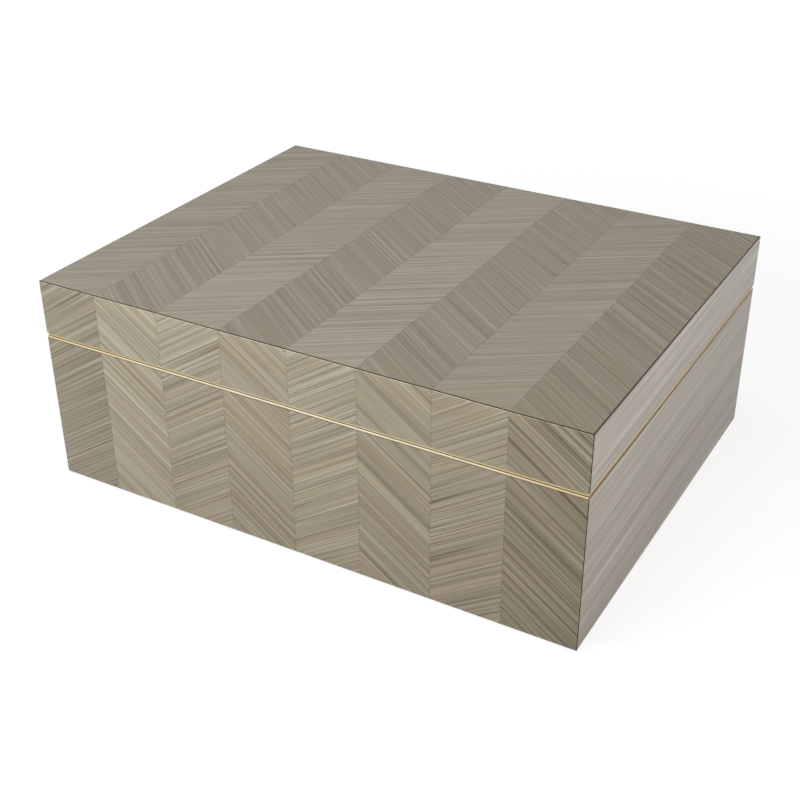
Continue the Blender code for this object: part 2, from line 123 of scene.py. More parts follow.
class Wiring:
    """A node tree that is being wired, of a material or of a Geometry Nodes modifier."""

    def __init__(self, tree: bpy.types.NodeTree) -> None:
        """Keep the tree.

        Args:
            tree: The tree that new nodes go in.
        """
        self.tree = tree

    def node(self, kind: str, feeds: dict[str | int, Feed] | None = None,
             **settings: object) -> bpy.types.Node:
        """Add a node.

        Args:
            kind: Blender's name for the kind of node.
            feeds: What each input gets, by its name or place.
            settings: The node's own settings.

        Returns:
            The new node.
        """
        node = self.tree.nodes.new(kind)
        for name, value in settings.items():
            setattr(node, name, value)
        for key, value in (feeds or {}).items():
            self.feed(node.inputs[key], value)
        return node

    def feed(self, socket: bpy.types.NodeSocket, value: Feed) -> None:
        """Link an input to another node's output, or set its value.

        Args:
            socket: The input.
            value: An output socket, or a plain value.
        """
        if isinstance(value, bpy.types.NodeSocket):
            self.tree.links.new(value, socket)
        else:
            socket.default_value = value

    def math(self, operation: str, *values: Feed, clamp: bool = False) -> bpy.types.NodeSocket:
        """Add a sum on numbers.

        Args:
            operation: Blender's name for the sum.
            values: The numbers or sockets that it works on.
            clamp: Whether the result is kept from 0 to 1.

        Returns:
            The result.
        """
        return self.node("ShaderNodeMath", dict(enumerate(values)), operation=operation,
                         use_clamp=clamp).outputs[0]

    def vector(self, operation: str, *values: Feed) -> bpy.types.NodeSocket:
        """Add a sum on vectors.

        Args:
            operation: Blender's name for the sum.
            values: The vectors or sockets that it works on.

        Returns:
            The resulting vector, or number for a dot product or a length.
        """
        node = self.node("ShaderNodeVectorMath", dict(enumerate(values)), operation=operation)
        return node.outputs["Value" if operation in ("DOT_PRODUCT", "LENGTH") else "Vector"]

    def split(self, vector: Feed) -> tuple[bpy.types.NodeSocket, ...]:
        """Return a vector's three parts."""
        return tuple(self.node("ShaderNodeSeparateXYZ", {0: vector}).outputs)

    def join(self, x: Feed, y: Feed, z: Feed) -> bpy.types.NodeSocket:
        """Return a vector of three parts."""
        return self.node("ShaderNodeCombineXYZ", {0: x, 1: y, 2: z}).outputs[0]

    def noise(self, place: Feed, scale: float = 1.0, detail: float = 1.0,
              roughness: float = 0.5) -> bpy.types.NodeSocket:
        """Add a noise.

        Args:
            place: Where it is read.
            scale: How often it changes for each unit of place.
            detail: How many finer octaves it holds.
            roughness: How strong the finer octaves are.

        Returns:
            The noise, about a half.
        """
        return self.node("ShaderNodeTexNoise", {"Vector": place, "Scale": scale, "Detail": detail,
                                                "Roughness": roughness}).outputs[0]

    def remap(self, value: Feed, low: float, high: float, to_low: Feed = 0.0,
              to_high: Feed = 1.0) -> bpy.types.NodeSocket:
        """Carry a range of numbers to another, and keep to its ends.

        Args:
            value: The number.
            low: Where the range starts.
            high: Where it ends.
            to_low: Where the other range starts.
            to_high: Where the other range ends.

        Returns:
            The number in the other range.
        """
        return self.node("ShaderNodeMapRange", {"Value": value, "From Min": low, "From Max": high,
                                                "To Min": to_low, "To Max": to_high}).outputs[0]

    def mix(self, share: Feed, first: Feed, second: Feed,
            blend: str = "MIX") -> bpy.types.NodeSocket:
        """Mix two colours.

        Args:
            share: How much of the second shows.
            first: The first colour.
            second: The second colour.
            blend: How the second goes over the first.

        Returns:
            The mixed colour.
        """
        node = self.node("ShaderNodeMix", data_type="RGBA", blend_type=blend)
        self.feed(node.inputs[0], share)
        for place, colour in ((6, first), (7, second)):
            self.feed(node.inputs[place], (*colour, 1.0) if isinstance(colour, tuple) else colour)
        return node.outputs[2]

    def object_place(self) -> bpy.types.NodeSocket:
        """Return the place on the piece, which is its place in the world at rest."""
        return self.node("ShaderNodeTexCoord").outputs["Object"]

    def seen(self) -> bpy.types.NodeSocket:
        """Return 1 where a thing shows, straight, in metal or through glass, and else 0."""
        path = self.node("ShaderNodeLightPath").outputs
        indirect = self.math("MAXIMUM", path["Is Glossy Ray"], path["Is Transmission Ray"])
        return self.math("MAXIMUM", path["Is Camera Ray"], indirect)

    def centred(self, level: Feed) -> bpy.types.NodeSocket:
        """Return a noise less its middle level, so that it swings about nothing."""
        return self.math("SUBTRACT", level, NOISE_MIDDLE)

    def relief(self, shader: bpy.types.Node, height: Feed, depth: float) -> None:
        """Give a shader's surface a relief.

        Args:
            shader: The shader.
            height: How high each place stands, as a share of the depth.
            depth: How deep the relief is, in metres.
        """
        bump = self.node("ShaderNodeBump", {"Strength": 1.0, "Distance": depth, "Height": height})
        self.feed(shader.inputs["Normal"], bump.outputs[0])

    def ramp(self, value: Feed, stops: Sequence[tuple[float, Colour]]) -> bpy.types.NodeSocket:
        """Turn a number into a colour.

        Args:
            value: The number, from 0 to 1.
            stops: Each stop's place and colour.

        Returns:
            The colour.
        """
        node = self.node("ShaderNodeValToRGB", {0: value})
        band = node.color_ramp
        while len(band.elements) < len(stops):
            band.elements.new(1.0)
        for element, (place, colour) in zip(band.elements, stops):
            element.position = place
            element.color = (*colour, 1.0)
        return node.outputs[0]

    def two_tone(self, value: Feed, span: tuple[float, float], first: Colour,
                 second: Colour) -> bpy.types.NodeSocket:
        """Turn a number into a colour between two.

        Args:
            value: The number.
            span: Where it leaves the first colour, and where it reaches the second.
            first: The first colour.
            second: The second colour.

        Returns:
            The colour.
        """
        return self.ramp(value, tuple(zip(span, (first, second))))


def new_surface(name: str, constants: dict[str, float]) -> tuple[bpy.types.Material, Wiring,
                                                                 bpy.types.Node]:
    """Start a material on a Principled shader.

    Args:
        name: The material's name.
        constants: Numbers set on the shader's own inputs.

    Returns:
        The material, its wiring and its shader.
    """
    material = bpy.data.materials.new(name)
    material.use_nodes = True
    shader = material.node_tree.nodes["Principled BSDF"]
    for key, value in constants.items():
        shader.inputs[key].default_value = value
    return material, Wiring(material.node_tree), shader


class Mottle(NamedTuple):
    """One noise of a finish.

    Attributes:
        scale: How often it changes, per metre.
        detail: How many finer octaves it holds.
        roughness: How strong the finer octaves are.
    """

    scale: float
    detail: float = 1.0
    roughness: float = 0.5


@dataclass(frozen=True)
class GrainLayer:
    """One scale of a wood's figure.

    Attributes:
        along: How often it changes along the grain, per metre.
        across: How often it changes across the grain, per metre.
        strength: How far it moves the tone.
        detail: How many finer octaves it holds.
        start: The level of noise that it starts from, where it makes separate lines.
        full: The level of noise at which such a line is full.
    """

    along: float
    across: float
    strength: float
    detail: float = 1.0
    start: float | None = None
    full: float = 1.0


@dataclass(frozen=True)
class VeneerFinish:
    """Greyed wood veneer under satin lacquer.

    Attributes:
        name: The material's name.
        layers: The figure's scales, from broad bands to pores.
        tones: The colours from the darkest streak to the palest line.
        warm: The tint of the warmer bands.
        cool: The tint of the greyer bands.
        tint_layer: The scale of the change between them.
        tint_range: The levels of noise from which and to which that change runs.
        contrast: How strong the whole figure is.
        shade: Painted light: how much paler the whole surface is drawn than the middle tone, set
            face by face for how brightly that face is lit.
        wave: How far a grain line wanders, in metres.
        wave_along: How often it wanders along the grain, per metre.
        wave_across: How often the wandering changes across the grain, per metre.
        relief: How deep the grain stands under the lacquer, in metres.
        lustre: How much of the light the fibres throw back as a sheen.
        fibre_roughness: How wide that sheen is.
        fibre_stretch: How far it is drawn out across the fibres.
        coat_roughness: How matt the lacquer is.
        coat_share: How full the lacquer is.
        fibre_gloss: How much the wood itself shines.
        painted_arris_highlight: How much paler the arris is drawn where the surface turns up: a
            painted highlight.
        painted_highlight_from: How far it has turned up where that painted highlight starts.
        painted_highlight_full: How far it has turned up where that painted highlight is full.
        under_tone: How much paler the surface is drawn where it turns down: painted light against
            its shade.
        under_full: How far it has turned down where that painted light is full.
        tilt: Painted light: how fast the tone rises along each axis, per metre.
        painted_light_middle: Where that painted light adds nothing.
    """

    name: str
    layers: tuple[GrainLayer, ...]
    tones: tuple[tuple[float, Colour], ...]
    warm: Colour
    cool: Colour
    tint_layer: GrainLayer = GrainLayer(6, 120, 1.0, 2.0)
    tint_range: tuple[float, float] = (0.38, 0.62)
    contrast: float = 1.0
    shade: float = 0.0
    wave: float = 0.0025
    wave_along: float = 9.0
    wave_across: float = 30.0
    relief: float = 0.00002
    lustre: float = 0.3
    fibre_roughness: float = 0.45
    fibre_stretch: float = 0.7
    coat_roughness: float = 0.26
    coat_share: float = 0.5
    fibre_gloss: float = 0.25
    painted_arris_highlight: float = 0.0
    painted_highlight_from: float = 0.12
    painted_highlight_full: float = 0.40
    # Painted light: surfaces that face down, such as the lid's low bevel, are drawn paler against
    # their shade.
    under_tone: float = 0.18
    under_full: float = -0.45
    tilt: Point = (0.0, 0.0, 0.0)
    painted_light_middle: Point = (0.0, 0.0, 0.059)

    def figure(self, wiring: Wiring, grain: Feed) -> bpy.types.NodeSocket:
        """Add up the layers of the figure.

        Args:
            wiring: The material's wiring.
            grain: The place along and across the grain, and the leaf, in metres.

        Returns:
            The tone, about a half.
        """
        # Painted light: the whole figure is drawn paler or darker by this face's own offset.
        total: Feed = NOISE_MIDDLE + self.shade
        for layer in self.layers:
            place = wiring.vector("MULTIPLY", grain, (layer.along, layer.across, 1.0))
            level = wiring.noise(place, detail=layer.detail)
            if layer.start is None:
                level = wiring.centred(level)
            else:
                level = wiring.remap(level, layer.start, layer.full)
            total = wiring.math("MULTIPLY_ADD", level, layer.strength * self.contrast, total)
        return total

    def wander(self, wiring: Wiring, along: Feed, across: Feed, leaf: Feed) -> bpy.types.NodeSocket:
        """Let the grain lines wander a little.

        Args:
            wiring: The material's wiring.
            along: The place along the grain.
            across: The place across it.
            leaf: A number that sets one leaf of veneer off from the next.

        Returns:
            The place along and across the grain, and the leaf.
        """
        coarse = wiring.join(wiring.math("MULTIPLY", along, self.wave_along),
                             wiring.math("MULTIPLY", across, self.wave_across), leaf)
        shift = wiring.centred(wiring.noise(coarse))
        across = wiring.math("MULTIPLY_ADD", shift, self.wave, across)
        return wiring.join(along, across, leaf)

    def dress(self, wiring: Wiring, shader: bpy.types.Node, grain: Feed, tone_with_painted_light: Feed) -> None:
        """Give the shader its colour and relief.

        Args:
            wiring: The material's wiring.
            shader: The Principled shader.
            grain: The place along and across the grain, and the leaf.
            tone_with_painted_light: The piece's own tone, with its painted light and any painted
                sheen, about -1 to 1.
        """
        figure = self.figure(wiring, grain)
        tone = wiring.math("ADD", tone_with_painted_light, figure, clamp=True)
        colour = wiring.ramp(tone, self.tones)
        layer = self.tint_layer
        place = wiring.vector("MULTIPLY", grain, (layer.along, layer.across, 1.0))
        tint = wiring.two_tone(wiring.noise(place, detail=layer.detail), self.tint_range,
                               self.cool, self.warm)
        wiring.feed(shader.inputs["Base Color"], wiring.mix(1.0, colour, tint, "MULTIPLY"))
        wiring.relief(shader, figure, self.relief)

    def painted_light_tone(self, wiring: Wiring) -> bpy.types.NodeSocket:
        """Work out the painted light: how far a place is drawn paler for where it lies, where it
        faces down, and on the painted highlight of a turned-up arris.

        Args:
            wiring: The material's wiring.

        Returns:
            The shift of tone that paints that light.
        """
        place = wiring.node("ShaderNodeTexCoord").outputs
        away = wiring.vector("SUBTRACT", place["Object"], self.painted_light_middle)
        tone = wiring.vector("DOT_PRODUCT", away, self.tilt)
        _, _, lift = wiring.split(place["Normal"])
        # Painted light where the surface faces down, and a painted highlight where it turns up.
        for start, full, share in ((0.0, self.under_full, self.under_tone),
                                   (self.painted_highlight_from, self.painted_highlight_full, self.painted_arris_highlight)):
            tone = wiring.math("ADD", tone, wiring.remap(lift, start, full, 0.0, share))
        return tone

    def constants(self) -> dict[str, float]:
        """Return the numbers that go on the shader's own inputs."""
        return {"Roughness": self.fibre_roughness, "Metallic": self.lustre, "IOR": WOOD_IOR,
                "Specular IOR Level": self.fibre_gloss, "Anisotropic": self.fibre_stretch,
                "Anisotropic Rotation": ACROSS_FIBRES, "Coat Weight": self.coat_share,
                "Coat Roughness": self.coat_roughness, "Coat IOR": LACQUER_IOR}

    def mapped_material(self) -> bpy.types.Material:
        """Make the veneer for pieces with their own map of the grain.

        Returns:
            The material, which reads the piece's map and its leaves' tones with their painted sheen,
            and adds the painted light.
        """
        material, wiring, shader = new_surface(self.name, self.constants())
        u, v, _ = wiring.split(wiring.node("ShaderNodeUVMap", uv_map=GRAIN_MAP).outputs[0])
        tone = wiring.node("ShaderNodeAttribute", attribute_name=TONE_ATTRIBUTE).outputs["Fac"]
        tone = wiring.math("ADD", tone, self.painted_light_tone(wiring))
        grain = self.wander(wiring, u, v, 0.0)
        self.dress(wiring, shader, grain, tone)
        tangent = wiring.node("ShaderNodeTangent", direction_type="UV_MAP", uv_map=GRAIN_MAP)
        wiring.feed(shader.inputs["Tangent"], tangent.outputs[0])
        return material


@dataclass(frozen=True)
class PlainVeneerFinish(VeneerFinish):
    """Plain veneer with level grain, on the sides and the back.

    Attributes:
        slope: How far the grain falls for each metre along the wall.
        leaf_share: How far the wall's place moves the figure from leaf to leaf.
        arris: How far the end grain reaches down from the arris.
        top: The height of the box's top, where the end grain shows.
        end_colour: The colour of the end grain.
    """

    slope: float = -0.02
    leaf_share: float = 14.0
    arris: float = 0.4 * MILLIMETRE
    top: float = BOX_TOP
    end_colour: Colour = srgb(44, 31, 12)

    def wall_material(self) -> bpy.types.Material:
        """Make the veneer for the sides and the back, which read the object's coordinates.

        Returns:
            The material, with end grain on the top arris.
        """
        material, wiring, shader = new_surface(self.name, self.constants())
        x, y, z = wiring.split(wiring.object_place())
        along = wiring.math("ADD", x, y)
        across = wiring.math("MULTIPLY_ADD", along, self.slope, z)
        leaf = wiring.math("MULTIPLY", x, self.leaf_share)
        grain = self.wander(wiring, along, across, leaf)
        self.dress(wiring, shader, grain, self.painted_light_tone(wiring))
        edge = wiring.math("GREATER_THAN", z, self.top - self.arris)
        veneer = shader.inputs["Base Color"].links[0].from_socket
        wiring.feed(shader.inputs["Base Color"], wiring.mix(edge, veneer, self.end_colour))
        return material


@dataclass(frozen=True)
class EndGrainFinish:
    """The cut edge of a veneer, dark where the lacquer has soaked in.

    Attributes:
        name: The material's name.
        dark: The darker of its two colours.
        light: The lighter.
        mottle: The noise by which they change.
        turn_range: The levels of noise from which and to which it turns from dark to light.
        roughness: How matt the wood is.
        gloss: How much it shines.
    """

    name: str = "veneer_end_grain"
    dark: Colour = srgb(34, 24, 12)
    light: Colour = srgb(58, 44, 26)
    mottle: Mottle = Mottle(700.0, 2.0)
    turn_range: tuple[float, float] = (0.35, 0.65)
    roughness: float = 0.7
    gloss: float = 0.1

    def material(self) -> bpy.types.Material:
        """Make the material.

        Returns:
            The material, on the object's coordinates.
        """
        material, wiring, shader = new_surface(
            self.name, {"Roughness": self.roughness, "Specular IOR Level": self.gloss})
        level = wiring.noise(wiring.object_place(), *self.mottle)
        wiring.feed(shader.inputs["Base Color"],
                    wiring.two_tone(level, self.turn_range, self.dark, self.light))
        return material


@dataclass(frozen=True)
class CoreFinish:
    """Dark stained wood of the panels and boards, seen inside the lid.

    Attributes:
        name: The material's name.
        dark: The stain in the grain lines.
        light: The stain between them.
        along: How often the grain changes along it, per metre.
        across: How often it changes across, per metre.
        lines: The noise of its lines, once it is drawn out along them.
        turn_range: The levels of noise from which and to which it turns from dark to light.
        roughness: How matt the wood is.
        relief: How deep the grain stands, in metres.
        coat_share: How full its lacquer is.
        coat_roughness: How matt the lacquer is.
    """

    name: str = "stained_core"
    dark: Colour = srgb(50, 42, 35)
    light: Colour = srgb(78, 67, 56)
    along: float = 12.0
    across: float = 420.0
    lines: Mottle = Mottle(1.0, 3.0, 0.6)
    turn_range: tuple[float, float] = (0.3, 0.7)
    roughness: float = 0.5
    relief: float = 0.00003
    coat_share: float = 0.35
    coat_roughness: float = 0.3

    def material(self) -> bpy.types.Material:
        """Make the material.

        Returns:
            The material, with its grain level along each wall.
        """
        material, wiring, shader = new_surface(
            self.name, {"Roughness": self.roughness, "Coat Weight": self.coat_share,
                        "Coat Roughness": self.coat_roughness})
        mapped = wiring.node("ShaderNodeMapping", {
            "Vector": wiring.object_place(), "Scale": (self.along, self.along, self.across)})
        level = wiring.noise(mapped.outputs[0], *self.lines)
        wiring.feed(shader.inputs["Base Color"],
                    wiring.two_tone(level, self.turn_range, self.dark, self.light))
        wiring.relief(shader, level, self.relief)
        return material


@dataclass(frozen=True)
class BrassFinish:
    """Brass with fine drawn lines, a little dull where it has been handled, with painted shade and
    painted reflection on its left and right sides and towards its corners.

    Attributes:
        name: The material's name.
        bright: The colour of clean metal.
        dull: The colour of handled metal.
        roughness: The metal's roughness where it is clean.
        wear: How much rougher it is where it is dull.
        patches: The noise by which clean and dull change.
        line_scale: How often the drawn lines change across, per metre.
        relief: How deep they are, in metres.
        lacquer: How much lacquer lies over it.
        lacquer_roughness: How matt the lacquer is.
        patch_range: The levels of noise from which and to which it turns from dull to clean.
        wear_range: The levels from which and to which its roughness changes.
        side: How strongly the left and right sides take the painted side colour.
        painted_side_from: How far out from the middle the painted sides are.
        painted_side_colour: The colour painted on those sides: painted shade on the base rim and
            painted reflection on the lid rim.
        painted_end_colour: The deeper gold painted towards the corners, a painted reflection.
        painted_end_from: How far out from the middle that painted reflection starts.
    """

    name: str = "brass"
    bright: Colour = (0.80, 0.70, 0.46)
    dull: Colour = (0.70, 0.59, 0.36)
    roughness: float = 0.22
    wear: float = 0.12
    patches: Mottle = Mottle(60.0, 4.0, 0.6)
    line_scale: float = 4000.0
    relief: float = 0.0000005
    lacquer: float = 0.0
    lacquer_roughness: float = 0.2
    patch_range: tuple[float, float] = (0.35, 0.6)
    wear_range: tuple[float, float] = (0.3, 0.7)
    side: float = 0.0
    painted_side_from: float = 0.0
    painted_side_colour: Colour = (0.0, 0.0, 0.0)
    painted_end_colour: Colour = (0.56, 0.45, 0.26)
    painted_end_from: float = 0.04

    def material(self) -> bpy.types.Material:
        """Make the material.

        Returns:
            The material, on the object's coordinates.
        """
        material, wiring, shader = new_surface(
            self.name, {"Metallic": 1.0, "Coat Weight": self.lacquer,
                        "Coat Roughness": self.lacquer_roughness})
        place = wiring.object_place()
        level = wiring.noise(place, *self.patches)
        colour = wiring.two_tone(level, self.patch_range, self.dull, self.bright)
        # Painted reflection deepens the gold towards the corners, then the painted side colour
        # covers the left and right sides.
        if self.side:
            reach = wiring.math("ABSOLUTE", wiring.split(place)[0])
            painted_end_share = wiring.remap(reach, self.painted_end_from, self.painted_side_from)
            colour = wiring.mix(painted_end_share, colour, self.painted_end_colour)
            out = wiring.math("GREATER_THAN", reach, self.painted_side_from)
            colour = wiring.mix(wiring.math("MULTIPLY", out, self.side), colour, self.painted_side_colour)
        wiring.feed(shader.inputs["Base Color"], colour)
        wiring.feed(shader.inputs["Roughness"],
                    wiring.remap(level, *self.wear_range, self.roughness + self.wear,
                                 self.roughness))
        lines = wiring.node("ShaderNodeMapping", {
            "Vector": place, "Scale": (self.patches.scale, self.patches.scale, self.line_scale)})
        wiring.relief(shader, wiring.noise(lines.outputs[0]), self.relief)
        return material


@dataclass(frozen=True)
class NapFinish:
    """Cloth with a short nap, such as suede or felt.

    Attributes:
        name: The material's name.
        dark: The colour where the nap lies away.
        light: The colour where it lies towards.
        patches: The noise by which the nap turns.
        fibres: The noise of the fibres.
        relief: How far the fibres stand, in metres.
        sheen: How much light the nap's edge catches.
        sheen_roughness: How wide that light spreads.
        fibre_share: How much the fibres change the colour.
        turn_range: The levels of noise from which and to which it turns from dark to light.
        roughness: How matt the cloth is.
        gloss: How much it shines.
    """

    name: str
    dark: Colour
    light: Colour
    patches: Mottle = Mottle(45.0, 3.0, 0.55)
    fibres: Mottle = Mottle(2600.0, 2.0, 0.7)
    relief: float = 0.00006
    sheen: float = 0.35
    sheen_roughness: float = 0.5
    fibre_share: float = 0.35
    turn_range: tuple[float, float] = (0.32, 0.68)
    roughness: float = 0.95
    gloss: float = 0.15

    def material(self) -> bpy.types.Material:
        """Make the material.

        Returns:
            The material, on the object's coordinates.
        """
        material, wiring, shader = new_surface(
            self.name, {"Roughness": self.roughness, "Specular IOR Level": self.gloss,
                        "Sheen Weight": self.sheen, "Sheen Roughness": self.sheen_roughness})
        place = wiring.object_place()
        patch, fibre = wiring.noise(place, *self.patches), wiring.noise(place, *self.fibres)
        tone = wiring.math("MULTIPLY_ADD", wiring.centred(fibre), self.fibre_share, patch)
        wiring.feed(shader.inputs["Base Color"],
                    wiring.two_tone(tone, self.turn_range, self.dark, self.light))
        wiring.relief(shader, fibre, self.relief)
        return material


FRONT_FINISH = VeneerFinish(
    name="front_chevron_veneer",
    layers=(
        GrainLayer(3, 70, 0.07, 0.0),
        GrainLayer(4, 240, 0.18, 0.0),
        GrainLayer(5, 480, 0.48, 0.0),
        GrainLayer(6, 820, 0.64, 0.0),
        GrainLayer(8, 1400, 0.66, 0.0),
        GrainLayer(12, 2400, 0.44, 0.0),
        GrainLayer(160, 3200, 0.16),
        GrainLayer(7, 1150, 0.26, 0.0, 0.66, 0.80),
        GrainLayer(12, 640, -0.40, 0.0, 0.74, 0.86),
    ),
    tones=((0.0, srgb(84, 74, 57)), (0.28, srgb(128, 117, 96)), (0.5, srgb(150, 140, 118)),
           (0.72, srgb(170, 161, 140)), (1.0, srgb(196, 189, 169))),
    warm=(1.015, 0.993, 0.98),
    cool=(0.988, 1.002, 1.01),
    contrast=0.85,
    shade=-0.04,
    # Painted highlight: the turned-up part of the front's top arris is drawn paler.
    painted_arris_highlight=0.5,
    # Painted light: the front is drawn paler towards its top and darker towards its right end.
    tilt=(-0.3, 0.0, 1.35),
)

# The top is the front's veneer drawn paler, with a weaker and greyer figure: painted light, and a
# painted reflection of the white sheen that its lacquer throws back.
TOP_FINISH = replace(
    FRONT_FINISH, name="top_chevron_veneer", contrast=0.62, shade=0.11, coat_share=0.30,
    # Painted light: the top is drawn paler towards its front and its right end.
    lustre=0.15, fibre_stretch=0.3, painted_arris_highlight=0.0, tilt=(0.15, -0.66, 0.0),
    tones=((0.0, srgb(84, 73, 55)), (0.28, srgb(128, 117, 95)), (0.5, srgb(150, 140, 119)),
           (0.72, srgb(170, 162, 143)), (1.0, srgb(196, 189, 172))))

PLAIN_FINISH = PlainVeneerFinish(
    name="plain_veneer",
    layers=(
        GrainLayer(2, 45, 0.26, 0.0),
        GrainLayer(6, 320, 0.26, 0.0, 0.62, 0.82),
        GrainLayer(3, 200, 0.36, 0.0),
        GrainLayer(4, 480, 0.50, 0.0),
        GrainLayer(8, 900, 0.50, 0.0),
        GrainLayer(20, 1900, 0.50, 0.0),
        GrainLayer(220, 3600, 0.15),
    ),
    tones=((0.0, srgb(116, 104, 88)), (0.3, srgb(143, 131, 116)), (0.5, srgb(155, 145, 131)),
           (0.7, srgb(168, 158, 145)), (1.0, srgb(197, 188, 176))),
    warm=(1.008, 0.998, 0.988),
    cool=(0.994, 1.0, 1.004),
    lustre=0.12,
    fibre_stretch=0.0,
    coat_share=0.35,
    # Painted light: the sides and back are drawn much paler towards the top and a little paler
    # towards the front.
    tilt=(0.0, -0.5, 4.6),
)

# Painted highlight and painted shade: the base rim's brass is drawn paler and whiter than the lid
# rim's, and its left and right sides near black.
BASE_RIM_BRASS = BrassFinish(name="base_rim_brass", bright=(0.57, 0.53, 0.405),
                             dull=(0.515, 0.465, 0.335), roughness=0.30, lacquer=0.1, side=1.0,
                             painted_side_from=HALF_WIDTH - PAINTED_SIDE_MARGIN,
                             painted_side_colour=(0.09, 0.045, 0.006))
# Painted reflection: the lid rim's left and right sides are drawn a brighter orange gold.
LID_RIM_BRASS = replace(BASE_RIM_BRASS, name="lid_rim_brass", bright=(0.60, 0.51, 0.33),
                        dull=(0.54, 0.44, 0.27),
                        painted_side_from=HALF_WIDTH - LID_EDGE_DEPTH - PAINTED_SIDE_MARGIN,
                        painted_side_colour=(0.78, 0.56, 0.29))
HINGE_BRASS = BrassFinish(name="hinge_brass", roughness=0.28)
SUEDE = NapFinish("lining_suede", srgb(103, 93, 82), srgb(122, 111, 99))
FELT = NapFinish("base_felt", srgb(28, 27, 26), srgb(48, 46, 44), sheen=0.1)


class FinishShelf:
    """The finishes made so far, each made into a material once."""

    def __init__(self) -> None:
        """Start with none made."""
        self.made: dict[str, bpy.types.Material] = {}

    def get(self, name: str, make: Callable[[], bpy.types.Material]) -> bpy.types.Material:
        """Return a material, made the first time it is asked for.

        Args:
            name: The finish's name.
            make: What makes the material.

        Returns:
            The material.
        """
        if name not in self.made:
            self.made[name] = make()
        return self.made[name]


def link_mesh(name: str, mesh: bpy.types.Mesh,
              materials: Iterable[bpy.types.Material] = ()) -> bpy.types.Object:
    """Put a mesh in the scene as an object at the origin.

    Args:
        name: The object's name.
        mesh: Its mesh, with its place in its points.
        materials: Its materials, in order.

    Returns:
        The object.
    """
    item = bpy.data.objects.new(name, mesh)
    mesh.name = name
    bpy.context.scene.collection.objects.link(item)
    for material in materials:
        mesh.materials.append(material)
    return item


def shade_by_angle(mesh: bpy.types.Mesh) -> None:
    """Shade a mesh smooth but for its square edges."""
    mesh.shade_smooth()
    mesh.set_sharp_from_angle(angle=SHARP_ANGLE)


def enter(piece: bpy.types.Object, body: Body, slot: Slot, *nodes: str) -> None:
    """Let a finished piece ride on its body in place of CAD nodes, and log it.

    Args:
        piece: The piece.
        body: The body that it moves with.
        slot: The slot for its material; not used.
        nodes: The CAD nodes that it stands for.
    """
    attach(piece, body.value)
    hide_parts(*nodes)
    LOG.info("%s: %d faces", piece.name, len(piece.data.polygons))


def dress_node(name: str, material: bpy.types.Material) -> None:
    """Give a CAD node that stays a better material.

    Args:
        name: The node's name.
        material: The material for all its faces.
    """
    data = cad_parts[name].data
    data.materials.clear()
    data.materials.append(material)
    LOG.info("%s: CAD node, dressed in %s", name, material.name)


def bake_modifiers(item: bpy.types.Object) -> None:
    """Turn an object's evaluated shape into its plain mesh, and drop its modifiers.

    Args:
        item: The object with its modifiers.
    """
    bpy.context.view_layer.update()
    shown = item.evaluated_get(bpy.context.evaluated_depsgraph_get())
    mesh = bpy.data.meshes.new_from_object(shown, preserve_all_data_layers=True,
                                           depsgraph=bpy.context.evaluated_depsgraph_get())
    item.modifiers.clear()
    item.data = mesh
    mesh.name = item.name


class PointTree:
    """A Geometry Nodes tree that makes a piece from points, with named inputs for its sizes.

    Attributes:
        NAME: The tree's name.
        NUMBERS: The names of its inputs that are numbers.
        COUNTS: The names of those that are whole numbers.
        MATERIALS: The names of those that are materials.
        tree: The tree.
        identifiers: Each input's identifier, by its name.
        wiring: The tree's wiring.
        inputs: The outputs of its input node, by name.
    """

    NAME: str = "pieces_from_points"
    NUMBERS: tuple[str, ...] = ()
    COUNTS: tuple[str, ...] = ()
    MATERIALS: tuple[str, ...] = ()

    def __init__(self) -> None:
        """Make the tree and keep its inputs' identifiers."""
        self.tree = bpy.data.node_groups.new(self.NAME, "GeometryNodeTree")
        face = self.tree.interface
        face.new_socket("Geometry", in_out="INPUT", socket_type="NodeSocketGeometry")
        kinds = {"NodeSocketFloat": self.NUMBERS, "NodeSocketInt": self.COUNTS,
                 "NodeSocketMaterial": self.MATERIALS}
        self.identifiers = {
            name: face.new_socket(name, in_out="INPUT", socket_type=kind).identifier
            for kind, names in kinds.items() for name in names}
        face.new_socket("Geometry", in_out="OUTPUT", socket_type="NodeSocketGeometry")
        self.wiring = Wiring(self.tree)
        self.inputs = self.wiring.node("NodeGroupInput").outputs
        self.wiring.feed(self.wiring.node("NodeGroupOutput").inputs[0], self.wire())

    def wire(self) -> bpy.types.NodeSocket:
        """Wire the whole tree, and return the finished geometry."""
        raise NotImplementedError

    def step(self, kind: str, feeds: dict[str | int, Feed] | None = None,
             **settings: object) -> bpy.types.NodeSocket:
        """Add a node that works on geometry or reads it, and return its first output."""
        return self.wiring.node(f"GeometryNode{kind}", feeds, **settings).outputs[0]

    def painted(self, geometry: Feed, material: Feed, where: Feed = True) -> bpy.types.NodeSocket:
        """Return a geometry with a material on the faces that are chosen."""
        return self.step("SetMaterial", {"Geometry": geometry, "Selection": where,
                                         "Material": material})

    def grow(self, name: str, points: Sequence[Point], values: dict[str, object],
             marks: dict[str, list[float]] | None = None) -> bpy.types.Object:
        """Make a piece from points.

        Args:
            name: The new object's name.
            points: The points.
            values: What each of the tree's inputs gets.
            marks: The numbers that the points carry, by the attribute's name.

        Returns:
            The object, a plain mesh with no modifier.
        """
        mesh = bpy.data.meshes.new(f"{name}_points")
        mesh.from_pydata(points, [], [])
        for key, numbers in (marks or {}).items():
            mesh.attributes.new(key, "FLOAT", "POINT").data.foreach_set("value", numbers)
        item = bpy.data.objects.new(name, mesh)
        bpy.context.scene.collection.objects.link(item)
        modifier = item.modifiers.new(self.NAME, "NODES")
        modifier.node_group = self.tree
        for key, value in values.items():
            modifier[self.identifiers[key]] = value
        bake_modifiers(item)
        shade_by_angle(item.data)
        return item


